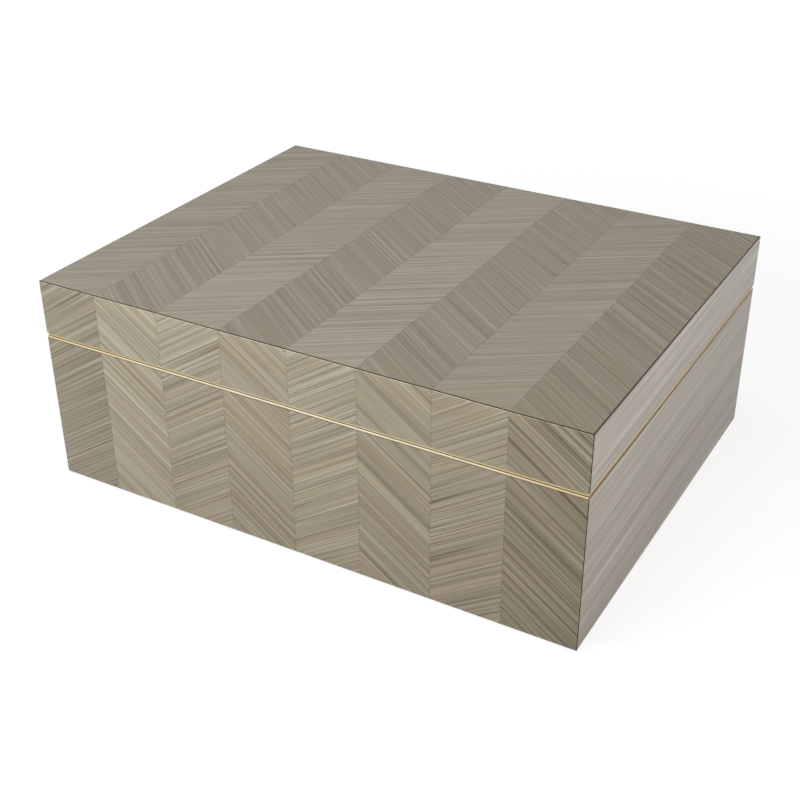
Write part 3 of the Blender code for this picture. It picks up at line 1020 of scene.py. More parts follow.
@dataclass
class Slab:
    """Where one slab lies on a wall.

    Attributes:
        middle: Its middle along the wall.
        length: Its length along the wall.
        half_wall: Half the wall's length.
        reach: How far the wall's outer face stands from the box's middle.
        turn: The quarter turns that bring the front to the wall.
    """

    middle: float
    length: float
    half_wall: float
    reach: float
    turn: float = 0.0


class SlabTree(PointTree):
    """The tree that makes a run of thin slabs on the walls, by rule.

    Each point of the input mesh is one slab, and carries the numbers that say where the slab lies.
    The tree gives each slab an arris, a sloped foot and mitred ends as its inputs ask, and maps its
    grain, which leans one way on one slab and the other way on the next. It also paints a sheen
    into the tone of each second slab.
    """

    NAME = "wall_slabs"
    NUMBERS = ("Height", "Thickness", "Level", "Arris", "Low Depth", "Low Rise", "Low Run",
               "Low Round", "High Round", "End Round", "Mitre", "Mitre Gap", "Rise", "Fall",
               "Leaf Shift", "Leaf Tone", "Painted Sheen", "Lay Flat", "Face Limit")
    COUNTS = ("Steps", "Seed")
    MATERIALS = ("Face", "Edge")

    def lay(self, name: str, slabs: Sequence[Slab], values: dict[str, object]) -> bpy.types.Object:
        """Make a run of slabs.

        Args:
            name: The new object's name.
            slabs: Where each slab lies.
            values: What each of the tree's inputs gets.

        Returns:
            The object, a plain mesh with no modifier.
        """
        marks = {part.name: [getattr(slab, part.name) for slab in slabs] for part in fields(Slab)}
        return self.grow(name, [(slab.middle, 0.0, 0.0) for slab in slabs], values, marks)

    def named(self, name: str, kind: str = "FLOAT") -> bpy.types.NodeSocket:
        """Read an attribute of the slabs, by its name and its kind of data."""
        return self.step("InputNamedAttribute", {0: name}, data_type=kind)

    def stored(self, geometry: Feed, name: str, value: Feed, kind: str = "FLOAT",
               domain: str = "POINT") -> bpy.types.NodeSocket:
        """Store an attribute on the slabs.

        Args:
            geometry: The slabs.
            name: The attribute's name.
            value: Its value.
            kind: Its kind of data.
            domain: Which parts of the slabs carry it.

        Returns:
            The slabs with the attribute.
        """
        return self.step("StoreNamedAttribute", {"Geometry": geometry, "Name": name,
                                                 "Value": value}, data_type=kind, domain=domain)

    def stations(self, unit: Feed, length: Feed, first_run: Feed) -> bpy.types.NodeSocket:
        """Place a slab's lines along one way, close together over its arrises.

        Args:
            unit: The line's place from 0 to 1, evenly spaced.
            length: The slab's length that way.
            first_run: How far the close lines reach from the slab's first end.

        Returns:
            The line's place, from minus to plus half the length.
        """
        w, inputs = self.wiring, self.inputs
        cells = w.math("MULTIPLY_ADD", inputs["Steps"], 2.0, 1.0)
        count = w.math("MULTIPLY", unit, cells)
        nearest = w.math("MINIMUM", count, w.math("SUBTRACT", cells, count))
        angle = w.math("MULTIPLY", w.math("DIVIDE", nearest, inputs["Steps"]), QUARTER)
        late = w.math("GREATER_THAN", unit, 0.5)
        close = w.math("MULTIPLY_ADD", late, w.math("SUBTRACT", inputs["Arris"], first_run),
                       first_run)
        run = w.math("MULTIPLY", w.math("SUBTRACT", 1.0, w.math("COSINE", angle)), close)
        reach = w.math("SUBTRACT", w.math("MULTIPLY", length, 0.5), run)
        return w.math("MULTIPLY", reach, w.math("SIGN", w.math("SUBTRACT", unit, 0.5)))

    def slope(self, height: Feed) -> bpy.types.NodeSocket:
        """Return how far a sloped low edge stands in at a height above the slab's foot."""
        w, inputs = self.wiring, self.inputs
        share = w.math("SUBTRACT", 1.0, w.math("DIVIDE", height, inputs["Low Rise"]), clamp=True)
        return w.math("MULTIPLY", share, inputs["Low Depth"])

    def depth(self, along: Feed, height: Feed) -> bpy.types.NodeSocket:
        """Return how far the outer face falls back at a place.

        Args:
            along: The place along the wall.
            height: The place above the slab's low edge.

        Returns:
            The outer face's depth.
        """
        w, inputs = self.wiring, self.inputs
        arris = inputs["Arris"]
        flat_end = w.math("SUBTRACT", self.named("half_wall"), arris)
        flat_top = w.math("SUBTRACT", inputs["Height"], arris)
        runs: Feed = 0.0
        for run, rounded in (
                (w.math("SUBTRACT", w.math("ABSOLUTE", along), flat_end), inputs["End Round"]),
                (w.math("SUBTRACT", height, flat_top), inputs["High Round"]),
                (w.math("SUBTRACT", arris, height), inputs["Low Round"])):
            run = w.math("MAXIMUM", run, 0.0)
            runs = w.math("ADD", runs, w.math("MULTIPLY", w.math("MULTIPLY", run, run), rounded))
        rest = w.math("MAXIMUM", w.math("SUBTRACT", w.math("MULTIPLY", arris, arris), runs), 0.0)
        fallen = w.math("SUBTRACT", arris, w.math("SQRT", rest))
        return w.math("MAXIMUM", fallen, self.slope(height))

    def mitred(self, along: Feed, depth: Feed, height: Feed) -> bpy.types.NodeSocket:
        """Keep a place behind the mitre, and behind the next wall's sloped edge, at each end.

        Args:
            along: The place along the wall.
            depth: Its depth into the wall.
            height: Its height above the slab's foot.

        Returns:
            The place, moved where the mitre or the edge asks.
        """
        w, inputs = self.wiring, self.inputs
        lost = w.math("MULTIPLY", w.math("ADD", depth, inputs["Mitre Gap"]), inputs["Mitre"])
        lost = w.math("MAXIMUM", lost, w.math("MULTIPLY", self.slope(height), inputs["End Round"]))
        limit = w.math("SUBTRACT", self.named("half_wall"), lost)
        return w.math("MAXIMUM", w.math("MINIMUM", along, limit), w.math("MULTIPLY", limit, -1.0))

    def grain_map(self, geometry: Feed) -> bpy.types.NodeSocket:
        """Map each slab's grain, leaning one way or the other by turns.

        Args:
            geometry: The slabs in their place, still as they stand on the wall.

        Returns:
            The slabs with the map and each one's own tone, with a painted sheen on each second one.
        """
        w, inputs = self.wiring, self.inputs
        leaf = self.named("leaf")
        odd = w.math("MODULO", leaf, 2.0)
        lean = w.math("MULTIPLY_ADD", odd, w.math("SUBTRACT", inputs["Fall"], inputs["Rise"]),
                      inputs["Rise"])
        x, _, z = w.split(self.step("InputPosition"))
        height = w.math("ADD", z, inputs["Level"])
        cosine, sine = w.math("COSINE", lean), w.math("SINE", lean)
        along = w.math("ADD", w.math("MULTIPLY", x, cosine), w.math("MULTIPLY", height, sine))
        across = w.math("SUBTRACT", w.math("MULTIPLY", height, cosine), w.math("MULTIPLY", x, sine))
        drawn = w.node("FunctionNodeRandomValue", {"ID": leaf, "Seed": inputs["Seed"]},
                       data_type="FLOAT_VECTOR").outputs[0]
        shift_u, shift_v, tone = w.split(drawn)
        along = w.math("MULTIPLY_ADD", shift_u, inputs["Leaf Shift"], along)
        across = w.math("MULTIPLY_ADD", shift_v, inputs["Leaf Shift"], across)
        mapped = self.stored(geometry, GRAIN_MAP, w.join(along, across, 0.0), "FLOAT2", "CORNER")
        tone = w.math("MULTIPLY", w.math("MULTIPLY_ADD", tone, 2.0, -1.0), inputs["Leaf Tone"])
        # Painted sheen: each second strip's tone is moved for how the light catches fibres that lean
        # the other way.
        tone = w.math("MULTIPLY_ADD", odd, inputs["Painted Sheen"], tone)
        return self.stored(mapped, TONE_ATTRIBUTE, tone)

    def wire(self) -> bpy.types.NodeSocket:
        """Wire the whole tree, and return the finished slabs."""
        w, inputs = self.wiring, self.inputs
        points = self.stored(inputs["Geometry"], "leaf", self.step("InputIndex"))
        lines = w.math("MULTIPLY_ADD", inputs["Steps"], 2.0, 2.0)
        cube = self.step("MeshCube", {"Size": (1.0, 1.0, 1.0), "Vertices X": lines,
                                      "Vertices Y": 2, "Vertices Z": lines})
        unit = w.vector("ADD", self.step("InputPosition"), (0.5, 0.5, 0.5))
        cube = self.stored(cube, "unit", unit, "FLOAT_VECTOR")
        slabs = self.step("InstanceOnPoints", {"Points": points, "Instance": cube})
        slabs = self.step("RealizeInstances", {"Geometry": slabs})
        unit_x, unit_y, unit_z = w.split(self.named("unit", "FLOAT_VECTOR"))
        along = w.math("ADD", self.stations(unit_x, self.named("length"), inputs["Arris"]),
                       self.named("middle"))
        height = w.math("ADD", self.stations(unit_z, inputs["Height"], inputs["Low Run"]),
                        w.math("MULTIPLY", inputs["Height"], 0.5))
        outer = self.depth(along, height)
        thickness = w.math("SUBTRACT", inputs["Thickness"], outer)
        depth = w.math("MULTIPLY_ADD", unit_y, thickness, outer)
        place = w.join(self.mitred(along, depth, height), depth, height)
        shaped = self.grain_map(self.step("SetPosition", {"Geometry": slabs, "Position": place}))
        _, facing, _ = w.split(self.step("InputNormal"))
        limit = w.math("MULTIPLY", inputs["Face Limit"], -1.0)
        outward = w.node("FunctionNodeCompare", {0: facing, 1: limit},
                         data_type="FLOAT", operation="LESS_THAN").outputs[0]
        dressed = self.painted(self.painted(shaped, inputs["Edge"]), inputs["Face"], outward)
        placed = self.step("SetPosition", {"Geometry": dressed, "Position": self.in_place()})
        return self.step("RealizeInstances", {"Geometry": placed})

    def in_place(self) -> bpy.types.NodeSocket:
        """Return each point's place on the box, from its place on the wall."""
        w, inputs = self.wiring, self.inputs
        flat = w.node("ShaderNodeVectorRotate", {
            "Vector": self.step("InputPosition"),
            "Angle": w.math("MULTIPLY", inputs["Lay Flat"], -QUARTER)},
            rotation_type="X_AXIS").outputs[0]
        x, y, z = w.split(flat)
        moved = w.join(x, w.math("SUBTRACT", y, self.named("reach")),
                       w.math("ADD", z, inputs["Level"]))
        return w.node("ShaderNodeVectorRotate", {
            "Vector": moved, "Angle": w.math("MULTIPLY", self.named("turn"), QUARTER)},
            rotation_type="Z_AXIS").outputs[0]


@dataclass
class Marquetry:
    """The chevron strips of the front and the top, in thin leaves of veneer.

    Attributes:
        trees: The tree that makes the slabs.
        shelf: The finishes.
        strips: How many strips lie side by side.
        arris: The round on the box's outer edges.
        arris_steps: How many facets make that round.
        lid_edge_height: How high the bevel at the low edge of the lid's strips is.
        lid_edge_depth: How deep that bevel is.
        front_rise: The lean of the front's first strip and each second one after it.
        front_fall: The lean of the strips between.
        top_rise: The same on the top.
        top_fall: The same on the top.
        leaf_shift: How far apart the leaves were cut, which sets their figures apart.
        face_limit: How squarely a facet faces outward to show the face of the veneer.
        glue_line: How far the base's strips stop short of the rim above them.
        front_tone: How far a leaf's tone may lie from the middle tone on the front.
        top_tone: The same on the top.
        front_turned_tone: How far the tone of each second strip is moved on the front: a painted
            sheen for fibres that lean the other way.
        top_turned_tone: The same on the top.
        front_seed: What sets the leaves apart on the front.
        top_seed: The same on the top.
    """

    trees: SlabTree
    shelf: FinishShelf
    strips: int = 8
    arris: float = 0.5 * MILLIMETRE
    arris_steps: int = 5
    lid_edge_height: float = 1.0 * MILLIMETRE
    lid_edge_depth: float = LID_EDGE_DEPTH
    front_rise: float = math.radians(33)
    front_fall: float = math.radians(-36)
    top_rise: float = math.radians(33.6)
    top_fall: float = math.radians(-37.5)
    leaf_shift: float = 3.0
    face_limit: float = 0.88
    glue_line: float = 0.16 * MILLIMETRE
    front_tone: float = 0.15
    top_tone: float = 0.09
    front_turned_tone: float = -0.04
    top_turned_tone: float = -0.12
    front_seed: int = 822
    top_seed: int = 82

    def nodes(self, prefix: str) -> list[str]:
        """Return the names of the CAD strips that share a prefix."""
        return [f"{prefix}_{number + 1}" for number in range(self.strips)]

    def lay(self, name: str, prefix: str, values: dict[str, object],
            lowered: float = 0.0) -> bpy.types.Object:
        """Make one face's strips where the CAD strips lie.

        Args:
            name: The new piece's name.
            prefix: What the CAD strips' names share.
            values: The tree's inputs that set this face apart.
            lowered: How far the strips stop short of the rim above them.

        Returns:
            The piece.
        """
        boxes = [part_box(node) for node in self.nodes(prefix)]
        low, high = boxes[0][0], boxes[-1][1]
        flat = bool(values.get("Lay Flat"))
        height = (high.y - low.y if flat else high.z - low.z) - lowered
        half = (high.x - low.x) / 2
        slabs = [Slab((a.x + b.x) / 2, b.x - a.x, half, -low.y) for a, b in boxes]
        given = {
            "Height": height, "Thickness": high.z - low.z if flat else high.y - low.y,
            "Level": high.z if flat else low.z, "Arris": self.arris, "Steps": self.arris_steps,
            "Low Run": self.arris, "Low Rise": self.arris,
            "Leaf Shift": self.leaf_shift, "Face Limit": self.face_limit,
            "Edge": self.shelf.get("end_grain", EndGrainFinish().material), **values}
        return self.trees.lay(name, slabs, given)

    def build(self) -> None:
        """Make the strips of the base's front, the lid's front and the lid's top."""
        front = {"Rise": self.front_rise, "Fall": self.front_fall, "End Round": 1.0,
                 "Seed": self.front_seed, "Leaf Tone": self.front_tone,
                 "Painted Sheen": self.front_turned_tone,
                 "Face": self.shelf.get("front", FRONT_FINISH.mapped_material)}
        base = self.lay("base_front_chevrons", "base_front_veneer", {**front, "Low Round": 1.0},
                        self.glue_line)
        enter(base, Body.BASE, Slot.CHEVRON, *self.nodes("base_front_veneer"))
        lid = self.lay("lid_front_chevrons", "lid_front_veneer",
                       {**front, "High Round": 1.0, "Low Depth": self.lid_edge_depth,
                        "Low Rise": self.lid_edge_height, "Low Run": self.lid_edge_height})
        enter(lid, Body.LID, Slot.CHEVRON, *self.nodes("lid_front_veneer"))
        top = self.lay("lid_top_chevrons", "lid_top_veneer",
                       {"Rise": self.top_rise, "Fall": self.top_fall, "Seed": self.top_seed,
                        "Leaf Tone": self.top_tone, "Painted Sheen": self.top_turned_tone,
                        "Lay Flat": 1.0,
                        "Face": self.shelf.get("top", TOP_FINISH.mapped_material)})
        enter(top, Body.LID, Slot.CHEVRON, *self.nodes("lid_top_veneer"))


@dataclass
class PlainVeneers:
    """The veneers of the sides and the back, which stay as the CAD has them.

    Attributes:
        shelf: The finishes.
        sides: The walls that have them.
    """

    shelf: FinishShelf
    sides: tuple[Wall, ...] = (Wall.RIGHT, Wall.BACK, Wall.LEFT)

    def build(self) -> None:
        """Dress the veneers of both bodies."""
        material = self.shelf.get("plain", PLAIN_FINISH.wall_material)
        for body in Body:
            for side in self.sides:
                dress_node(f"{body.value}_{side.name.lower()}_veneer", material)


@dataclass
class Carcass:
    """The panels and boards inside the veneers, which stay as the CAD has them.

    Attributes:
        shelf: The finishes.
        boards: The two boards.
    """

    shelf: FinishShelf
    boards: tuple[str, ...] = ("base_bottom_board", "lid_top_board")

    def build(self) -> None:
        """Dress the panels and the boards."""
        material = self.shelf.get("core", CoreFinish().material)
        panels = [f"{body.value}_{wall.name.lower()}_panel" for body in Body for wall in Wall]
        for name in (*panels, *self.boards):
            dress_node(name, material)


@dataclass
class RimStrips:
    """The brass strips that edge the base and the lid at the seam, in mitred lengths.

    Attributes:
        trees: The tree that makes the slabs.
        shelf: The finishes.
        base_easing: The round on the base strip's outer edge.
        lid_rows: How far up the lid strip's lowest rows of faces reach.
        steps: How many facets make the round.
        mitre_gap: The gap at each mitre, measured square to the wall.
        hinge_gap: The gap beside each hinge leaf.
    """

    trees: SlabTree
    shelf: FinishShelf
    base_easing: float = 0.4 * MILLIMETRE
    lid_rows: float = 0.2 * MILLIMETRE
    steps: int = 4
    mitre_gap: float = 0.06 * MILLIMETRE
    hinge_gap: float = 0.1 * MILLIMETRE

    def lengths(self, node: str, leaf: str) -> list[Slab]:
        """Work out the lengths of one rim, with the back one cut at the hinges.

        Args:
            node: The rim's CAD node.
            leaf: What the names of that body's hinge leaves end with.

        Returns:
            Where each length lies.
        """
        low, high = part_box(node)
        halves = {Wall.FRONT: high.x, Wall.BACK: high.x, Wall.RIGHT: high.y, Wall.LEFT: high.y}
        slabs = []
        for wall in Wall:
            half = halves[wall]
            reach = high.x + high.y - half
            cuts = [-half]
            if wall is Wall.BACK:
                for side in ("left", "right"):
                    leaf_low, leaf_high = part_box(f"hinge_{side}_{leaf}")
                    cuts += [leaf_low.x - self.hinge_gap, leaf_high.x + self.hinge_gap]
            cuts.append(half)
            for start, end in zip(cuts[::2], cuts[1::2]):
                slabs.append(Slab((start + end) / 2, end - start, half, reach, wall.value))
        return slabs

    def build(self) -> None:
        """Make both rims."""
        shared = {"Mitre": 1.0, "Mitre Gap": self.mitre_gap, "End Round": 1.0, "Steps": self.steps,
                  "Arris": self.base_easing, "Low Rise": self.base_easing}
        for body, finish, values in (
                (Body.BASE, BASE_RIM_BRASS, {"High Round": 1.0, "Low Run": self.base_easing}),
                (Body.LID, LID_RIM_BRASS, {"Low Run": self.lid_rows})):
            name = f"{body.value}_rim_strip"
            low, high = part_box(name)
            _, panel_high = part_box(f"{body.value}_front_panel")
            brass = self.shelf.get(finish.name, finish.material)
            sizes = {"Height": high.z - low.z, "Thickness": panel_high.y - low.y, "Level": low.z,
                     "Face": brass, "Edge": brass}
            piece = self.trees.lay(f"{body.value}_brass_rim",
                                   self.lengths(name, f"{body.value}_leaf"),
                                   {**shared, **sizes, **values})
            enter(piece, body, Slot.BRASS, name)


class ScrewTree(PointTree):
    """The tree that puts a countersunk slotted screw at each point."""

    NAME = "countersunk_screws"
    NUMBERS = ("Head Radius", "Head Rim", "Shank Radius", "Length", "Slot Width", "Slot Depth",
               "Crown", "Crown Share", "Tip Share", "Cutter Share", "Turn Down")
    COUNTS = ("Sides", "Seed")
    MATERIALS = ("Brass",)

    def turned(self, radius_low: Feed, radius_high: Feed, low: Feed,
               high: Feed) -> bpy.types.NodeSocket:
        """Make a closed cone between two heights.

        Args:
            radius_low: Its radius below.
            radius_high: Its radius above.
            low: Its lower end.
            high: Its upper end.

        Returns:
            The cone.
        """
        w = self.wiring
        cone = self.step("MeshCone", {
            "Vertices": self.inputs["Sides"], "Radius Top": radius_high,
            "Radius Bottom": radius_low, "Depth": w.math("SUBTRACT", high, low)})
        return self.step("Transform", {"Geometry": cone, "Translation": w.join(0.0, 0.0, low)})

    def wire(self) -> bpy.types.NodeSocket:
        """Wire the whole tree, and return the finished screws."""
        w, inputs = self.wiring, self.inputs
        head, shank = inputs["Head Radius"], inputs["Shank Radius"]
        rim = w.math("MULTIPLY", inputs["Head Rim"], -1.0)
        neck = w.math("SUBTRACT", rim, w.math("SUBTRACT", head, shank))
        end = w.math("MULTIPLY", inputs["Length"], -1.0)
        body = w.node("GeometryNodeMeshBoolean", operation="UNION", solver="EXACT")
        for section in ((head, w.math("MULTIPLY", head, inputs["Crown Share"]), 0.0,
                         inputs["Crown"]),
                        (head, head, rim, 0.0),
                        (shank, head, neck, rim),
                        (w.math("MULTIPLY", shank, inputs["Tip Share"]), shank, end, neck)):
            self.tree.links.new(self.turned(*section), body.inputs["Mesh 2"])
        cutter = self.step("MeshCube", {"Size": w.join(
            w.math("MULTIPLY", head, inputs["Cutter Share"]), inputs["Slot Width"],
            w.math("MULTIPLY", inputs["Slot Depth"], 2.0))})
        slotted = w.node("GeometryNodeMeshBoolean", operation="DIFFERENCE", solver="EXACT")
        w.feed(slotted.inputs["Mesh 1"], body.outputs[0])
        self.tree.links.new(cutter, slotted.inputs["Mesh 2"])
        spin = w.node("FunctionNodeRandomValue", {2: -QUARTER, 3: QUARTER, "Seed": inputs["Seed"]},
                      data_type="FLOAT").outputs[1]
        turn = w.join(w.math("MULTIPLY", inputs["Turn Down"], math.pi), 0.0, spin)
        copies = self.step("InstanceOnPoints", {
            "Points": inputs["Geometry"], "Instance": slotted.outputs[0], "Rotation": turn})
        return self.painted(self.step("RealizeInstances", {"Geometry": copies}), inputs["Brass"])


@dataclass
class Hinges:
    """The two stop hinges, with their leaves and pins as the CAD has them and finer screws.

    Attributes:
        shelf: The finishes.
        head_radius: The screw head's radius.
        head_rim: The straight rim of the head.
        shank_radius: The shank's radius.
        length: The screw's length.
        slot_width: The slot's width.
        slot_depth: The slot's depth.
        crown: How far the head is crowned.
        crown_share: How wide the crown's flat is, of the head's radius.
        tip_share: How wide the shank's end is, of its radius.
        cutter_share: How long the cutter of the slot is, of the head's radius.
        sides: How many facets go round a screw.
        seed: What sets the slots' turns.
        hands: The names of the two hinges.
        numbers: The numbers of the screws in each leaf.
    """

    shelf: FinishShelf
    head_radius: float = 1.7 * MILLIMETRE
    head_rim: float = 0.2 * MILLIMETRE
    shank_radius: float = 0.8 * MILLIMETRE
    length: float = 9 * MILLIMETRE
    slot_width: float = 0.5 * MILLIMETRE
    slot_depth: float = 0.4 * MILLIMETRE
    crown: float = 0.05 * MILLIMETRE
    crown_share: float = 0.86
    tip_share: float = 0.4
    cutter_share: float = 3.0
    sides: int = 40
    seed: int = 5
    hands: tuple[str, ...] = ("left", "right")
    numbers: tuple[int, ...] = (1, 2)

    def screw_places(self, nodes: Sequence[str], up: bool) -> list[Point]:
        """Return where the heads of some CAD screws are.

        Args:
            nodes: The screws' nodes.
            up: Whether their heads face up.

        Returns:
            The middle of each head's face.
        """
        places = []
        for node in nodes:
            low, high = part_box(node)
            places.append(((low.x + high.x) / 2, (low.y + high.y) / 2, high.z if up else low.z))
        return places

    def build(self) -> None:
        """Dress the leaves and pins, and make each body's screws."""
        brass = self.shelf.get("hinge_brass", HINGE_BRASS.material)
        for hand in self.hands:
            dress_node(f"hinge_{hand}_pin", brass)
            for body in Body:
                dress_node(f"hinge_{hand}_{body.value}_leaf", brass)
        tree = ScrewTree()
        for body in Body:
            nodes = [f"hinge_{hand}_{body.value}_screw_{number}" for hand in self.hands
                     for number in self.numbers]
            up = body is Body.BASE
            piece = tree.grow(f"{body.value}_hinge_screws", self.screw_places(nodes, up), {
                "Head Radius": self.head_radius, "Head Rim": self.head_rim,
                "Shank Radius": self.shank_radius, "Length": self.length,
                "Slot Width": self.slot_width, "Slot Depth": self.slot_depth, "Crown": self.crown,
                "Crown Share": self.crown_share, "Tip Share": self.tip_share,
                "Cutter Share": self.cutter_share, "Sides": self.sides,
                "Turn Down": 0.0 if up else 1.0, "Seed": self.seed, "Brass": brass})
            enter(piece, body, Slot.BRASS, *nodes)


def skin_rows(shape: bmesh.types.BMesh, rows: Sequence[Sequence[Point]], closed: bool,
              filled: Iterable[int] = ()) -> None:
    """Add rows of points to a shape and join each to the next with faces.

    Args:
        shape: The shape.
        rows: Rows with the same number of points.
        closed: Whether the last point of a row meets its first.
        filled: The rows that are filled in, 0 for the first and -1 for the last.
    """
    grid = [[shape.verts.new(point) for point in row] for row in rows]
    count = len(grid[0])
    for first, second in zip(grid, grid[1:]):
        for index in range(count if closed else count - 1):
            after = (index + 1) % count
            shape.faces.new((first[index], first[after], second[after], second[index]))
    for row in filled:
        shape.faces.new(grid[row])


def finished_mesh(shape: bmesh.types.BMesh, name: str) -> bpy.types.Mesh:
    """Turn a shape into a mesh with its faces outward.

    Args:
        shape: The shape, which is freed.
        name: The mesh's name.

    Returns:
        The mesh.
    """
    bmesh.ops.remove_doubles(shape, verts=shape.verts, dist=MERGE_DISTANCE)
    bmesh.ops.recalc_face_normals(shape, faces=shape.faces)
    mesh = bpy.data.meshes.new(name)
    shape.to_mesh(mesh)
    shape.free()
    return mesh


def turned_point(x: float, y: float, z: float, turn: int) -> Point:
    """Turn a point about Z by quarter turns."""
    for _ in range(turn):
        x, y = -y, x
    return x, y, z


def eased(share: float) -> float:
    """Return a share from 0 to 1 as it runs smoothly between them."""
    share = min(max(share, 0.0), 1.0)
    return share * share * (3 - 2 * share)


def unevenness(place: Vector) -> float:
    """Return a smooth noise at a place, from 0 to 1."""
    return min(max(0.5 + 0.5 * noise.noise(place), 0.0), 1.0)


@dataclass
class Lining:
    """The suede: a liner of four padded boards, a floor pad and a pad under the lid.

    Attributes:
        shelf: The finishes.
        board_crown: How far a liner board's inner face bulges.
        board_pinch: How much thinner it is at its ends.
        board_droop: How much lower its top is there.
        board_gap: Half the gap between two boards at a corner.
        pinch_run: How far from its end a board starts to thin.
        bulge_reach: Where the bulge ends, where 1 is just at the foot and more is above it.
        bulge_power: How flat the bulge is, where less is flatter.
        top_points: How many points go round its top edge.
        face_points: How many go down its inner face.
        board_rows: How many sections go along it.
        pad_pull: How far a pad's sides pull in between its corners.
        pad_edge: How wide its rolled edge is.
        pad_low_share: How thick its very edge is, of its thickness.
        pad_crown_share: How much of its thickness the crown adds.
        pad_crown_power: How flat the crown is, where more is flatter.
        pull_power: How close to the sides they pull in, where more is closer.
        corner_power: How square its corners are.
        corner_reach: How close to the edge the corners are rounded, where more is closer.
        pad_cells: How many faces go along and across it.
        ripple: How far the cloth stands unevenly.
        ripple_scale: How often that changes, per metre.
        fill: How tight the padding is.
        liner_clearance: The gap between the liner and the floor pad.
    """

    shelf: FinishShelf
    board_crown: float = 0.45 * MILLIMETRE
    board_pinch: float = 0.5 * MILLIMETRE
    board_droop: float = 0.35 * MILLIMETRE
    board_gap: float = 0.08 * MILLIMETRE
    pinch_run: float = 7 * MILLIMETRE
    bulge_reach: float = 1.02
    bulge_power: float = 0.6
    top_points: int = 10
    face_points: int = 14
    board_rows: int = 60
    pad_pull: float = 0.6 * MILLIMETRE
    pad_edge: float = 4.5 * MILLIMETRE
    pad_low_share: float = 0.22
    pad_crown_share: float = 0.16
    pad_crown_power: int = 4
    pull_power: int = 8
    corner_power: float = 60.0
    corner_reach: int = 12
    pad_cells: tuple[int, int] = (88, 68)
    ripple: float = 0.07 * MILLIMETRE
    ripple_scale: float = 38.0
    fill: float = 0.6
    liner_clearance: float = 0.3 * MILLIMETRE

    def uneven(self, x: float, y: float, z: float) -> float:
        """Return how far the cloth stands out at a place, from no ripple to a full one."""
        return self.ripple * unevenness(Vector((x, y, z)) * self.ripple_scale)

    def board_section(self, s: float, half: float, thickness: float, low: float,
                      high: float) -> list[tuple[float, float]]:
        """Work out a liner board's section at a place along it.

        Args:
            s: The place along the board.
            half: Half the board's length.
            thickness: The room that the board has.
            low: Its lower edge.
            high: Its upper edge.

        Returns:
            The section's (u, z) points, from the foot of its outer face round to its inner one.
        """
        end = 1 - eased((half - abs(s)) / self.pinch_run)
        body = thickness - self.board_crown - self.board_pinch * end
        top = high - self.board_droop * end
        radius = body / 2
        points = [(0.0, low)]
        for step in range(self.top_points + 1):
            angle = math.pi * step / self.top_points
            points.append((radius * (1 - math.cos(angle)), top - radius * (1 - math.sin(angle))))
        for step in range(1, self.face_points + 1):
            share = step / self.face_points
            bulge = math.sin(math.pi * min(share * self.bulge_reach, 1.0)) ** self.bulge_power
            z = top - radius - (top - radius - low) * share
            ripple = self.uneven(s, 0.0, z) * math.sin(math.pi * share)
            points.append((body + self.board_crown * bulge * (1 - end) - ripple, z))
        return points

    def add_board(self, shape: bmesh.types.BMesh, wall: Wall, low: Vector, high: Vector,
                  thickness: float) -> None:
        """Add one liner board to the liner's shape.

        Args:
            shape: The liner's shape.
            wall: The wall that the board lines.
            low: The liner's lowest corner.
            high: Its highest corner.
            thickness: The room that the board has.
        """
        across = wall in (Wall.FRONT, Wall.BACK)
        half, reach = (high.x, high.y) if across else (high.y, high.x)
        rows = []
        for row in range(self.board_rows + 1):
            share = row / self.board_rows
            s = -half * math.cos(math.pi * share) if 0 < row < self.board_rows else \
                half * (2 * share - 1)
            section = self.board_section(s, half, thickness, low.z, high.z)
            ring = []
            for u, z in section:
                limit = half - u - self.board_gap
                ring.append(turned_point(min(max(s, -limit), limit), u - reach, z, wall.value))
            rows.append(ring)
        skin_rows(shape, rows, closed=True, filled=(0, -1))

    def liner_mesh(self) -> bpy.types.Mesh:
        """Make the liner's four boards in one mesh."""
        low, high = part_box("base_liner")
        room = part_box("base_floor_pad")[0].x - low.x - self.liner_clearance
        shape = bmesh.new()
        for wall in Wall:
            self.add_board(shape, wall, low, high, room)
        return finished_mesh(shape, "base_suede_liner")

    def pad_mesh(self, name: str, node: str, facing: int) -> bpy.types.Mesh:
        """Make a crowned pad in the room of its CAD node.

        Args:
            name: The mesh's name.
            node: The CAD node.
            facing: 1 where its crown faces up, or -1 where it faces down.

        Returns:
            The pad, closed.
        """
        low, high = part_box(node)
        half = Vector(((high.x - low.x) / 2, (high.y - low.y) / 2))
        middle = (high + low) / 2
        thick = high.z - low.z
        seat = low.z if facing > 0 else high.z
        columns, rows = self.pad_cells

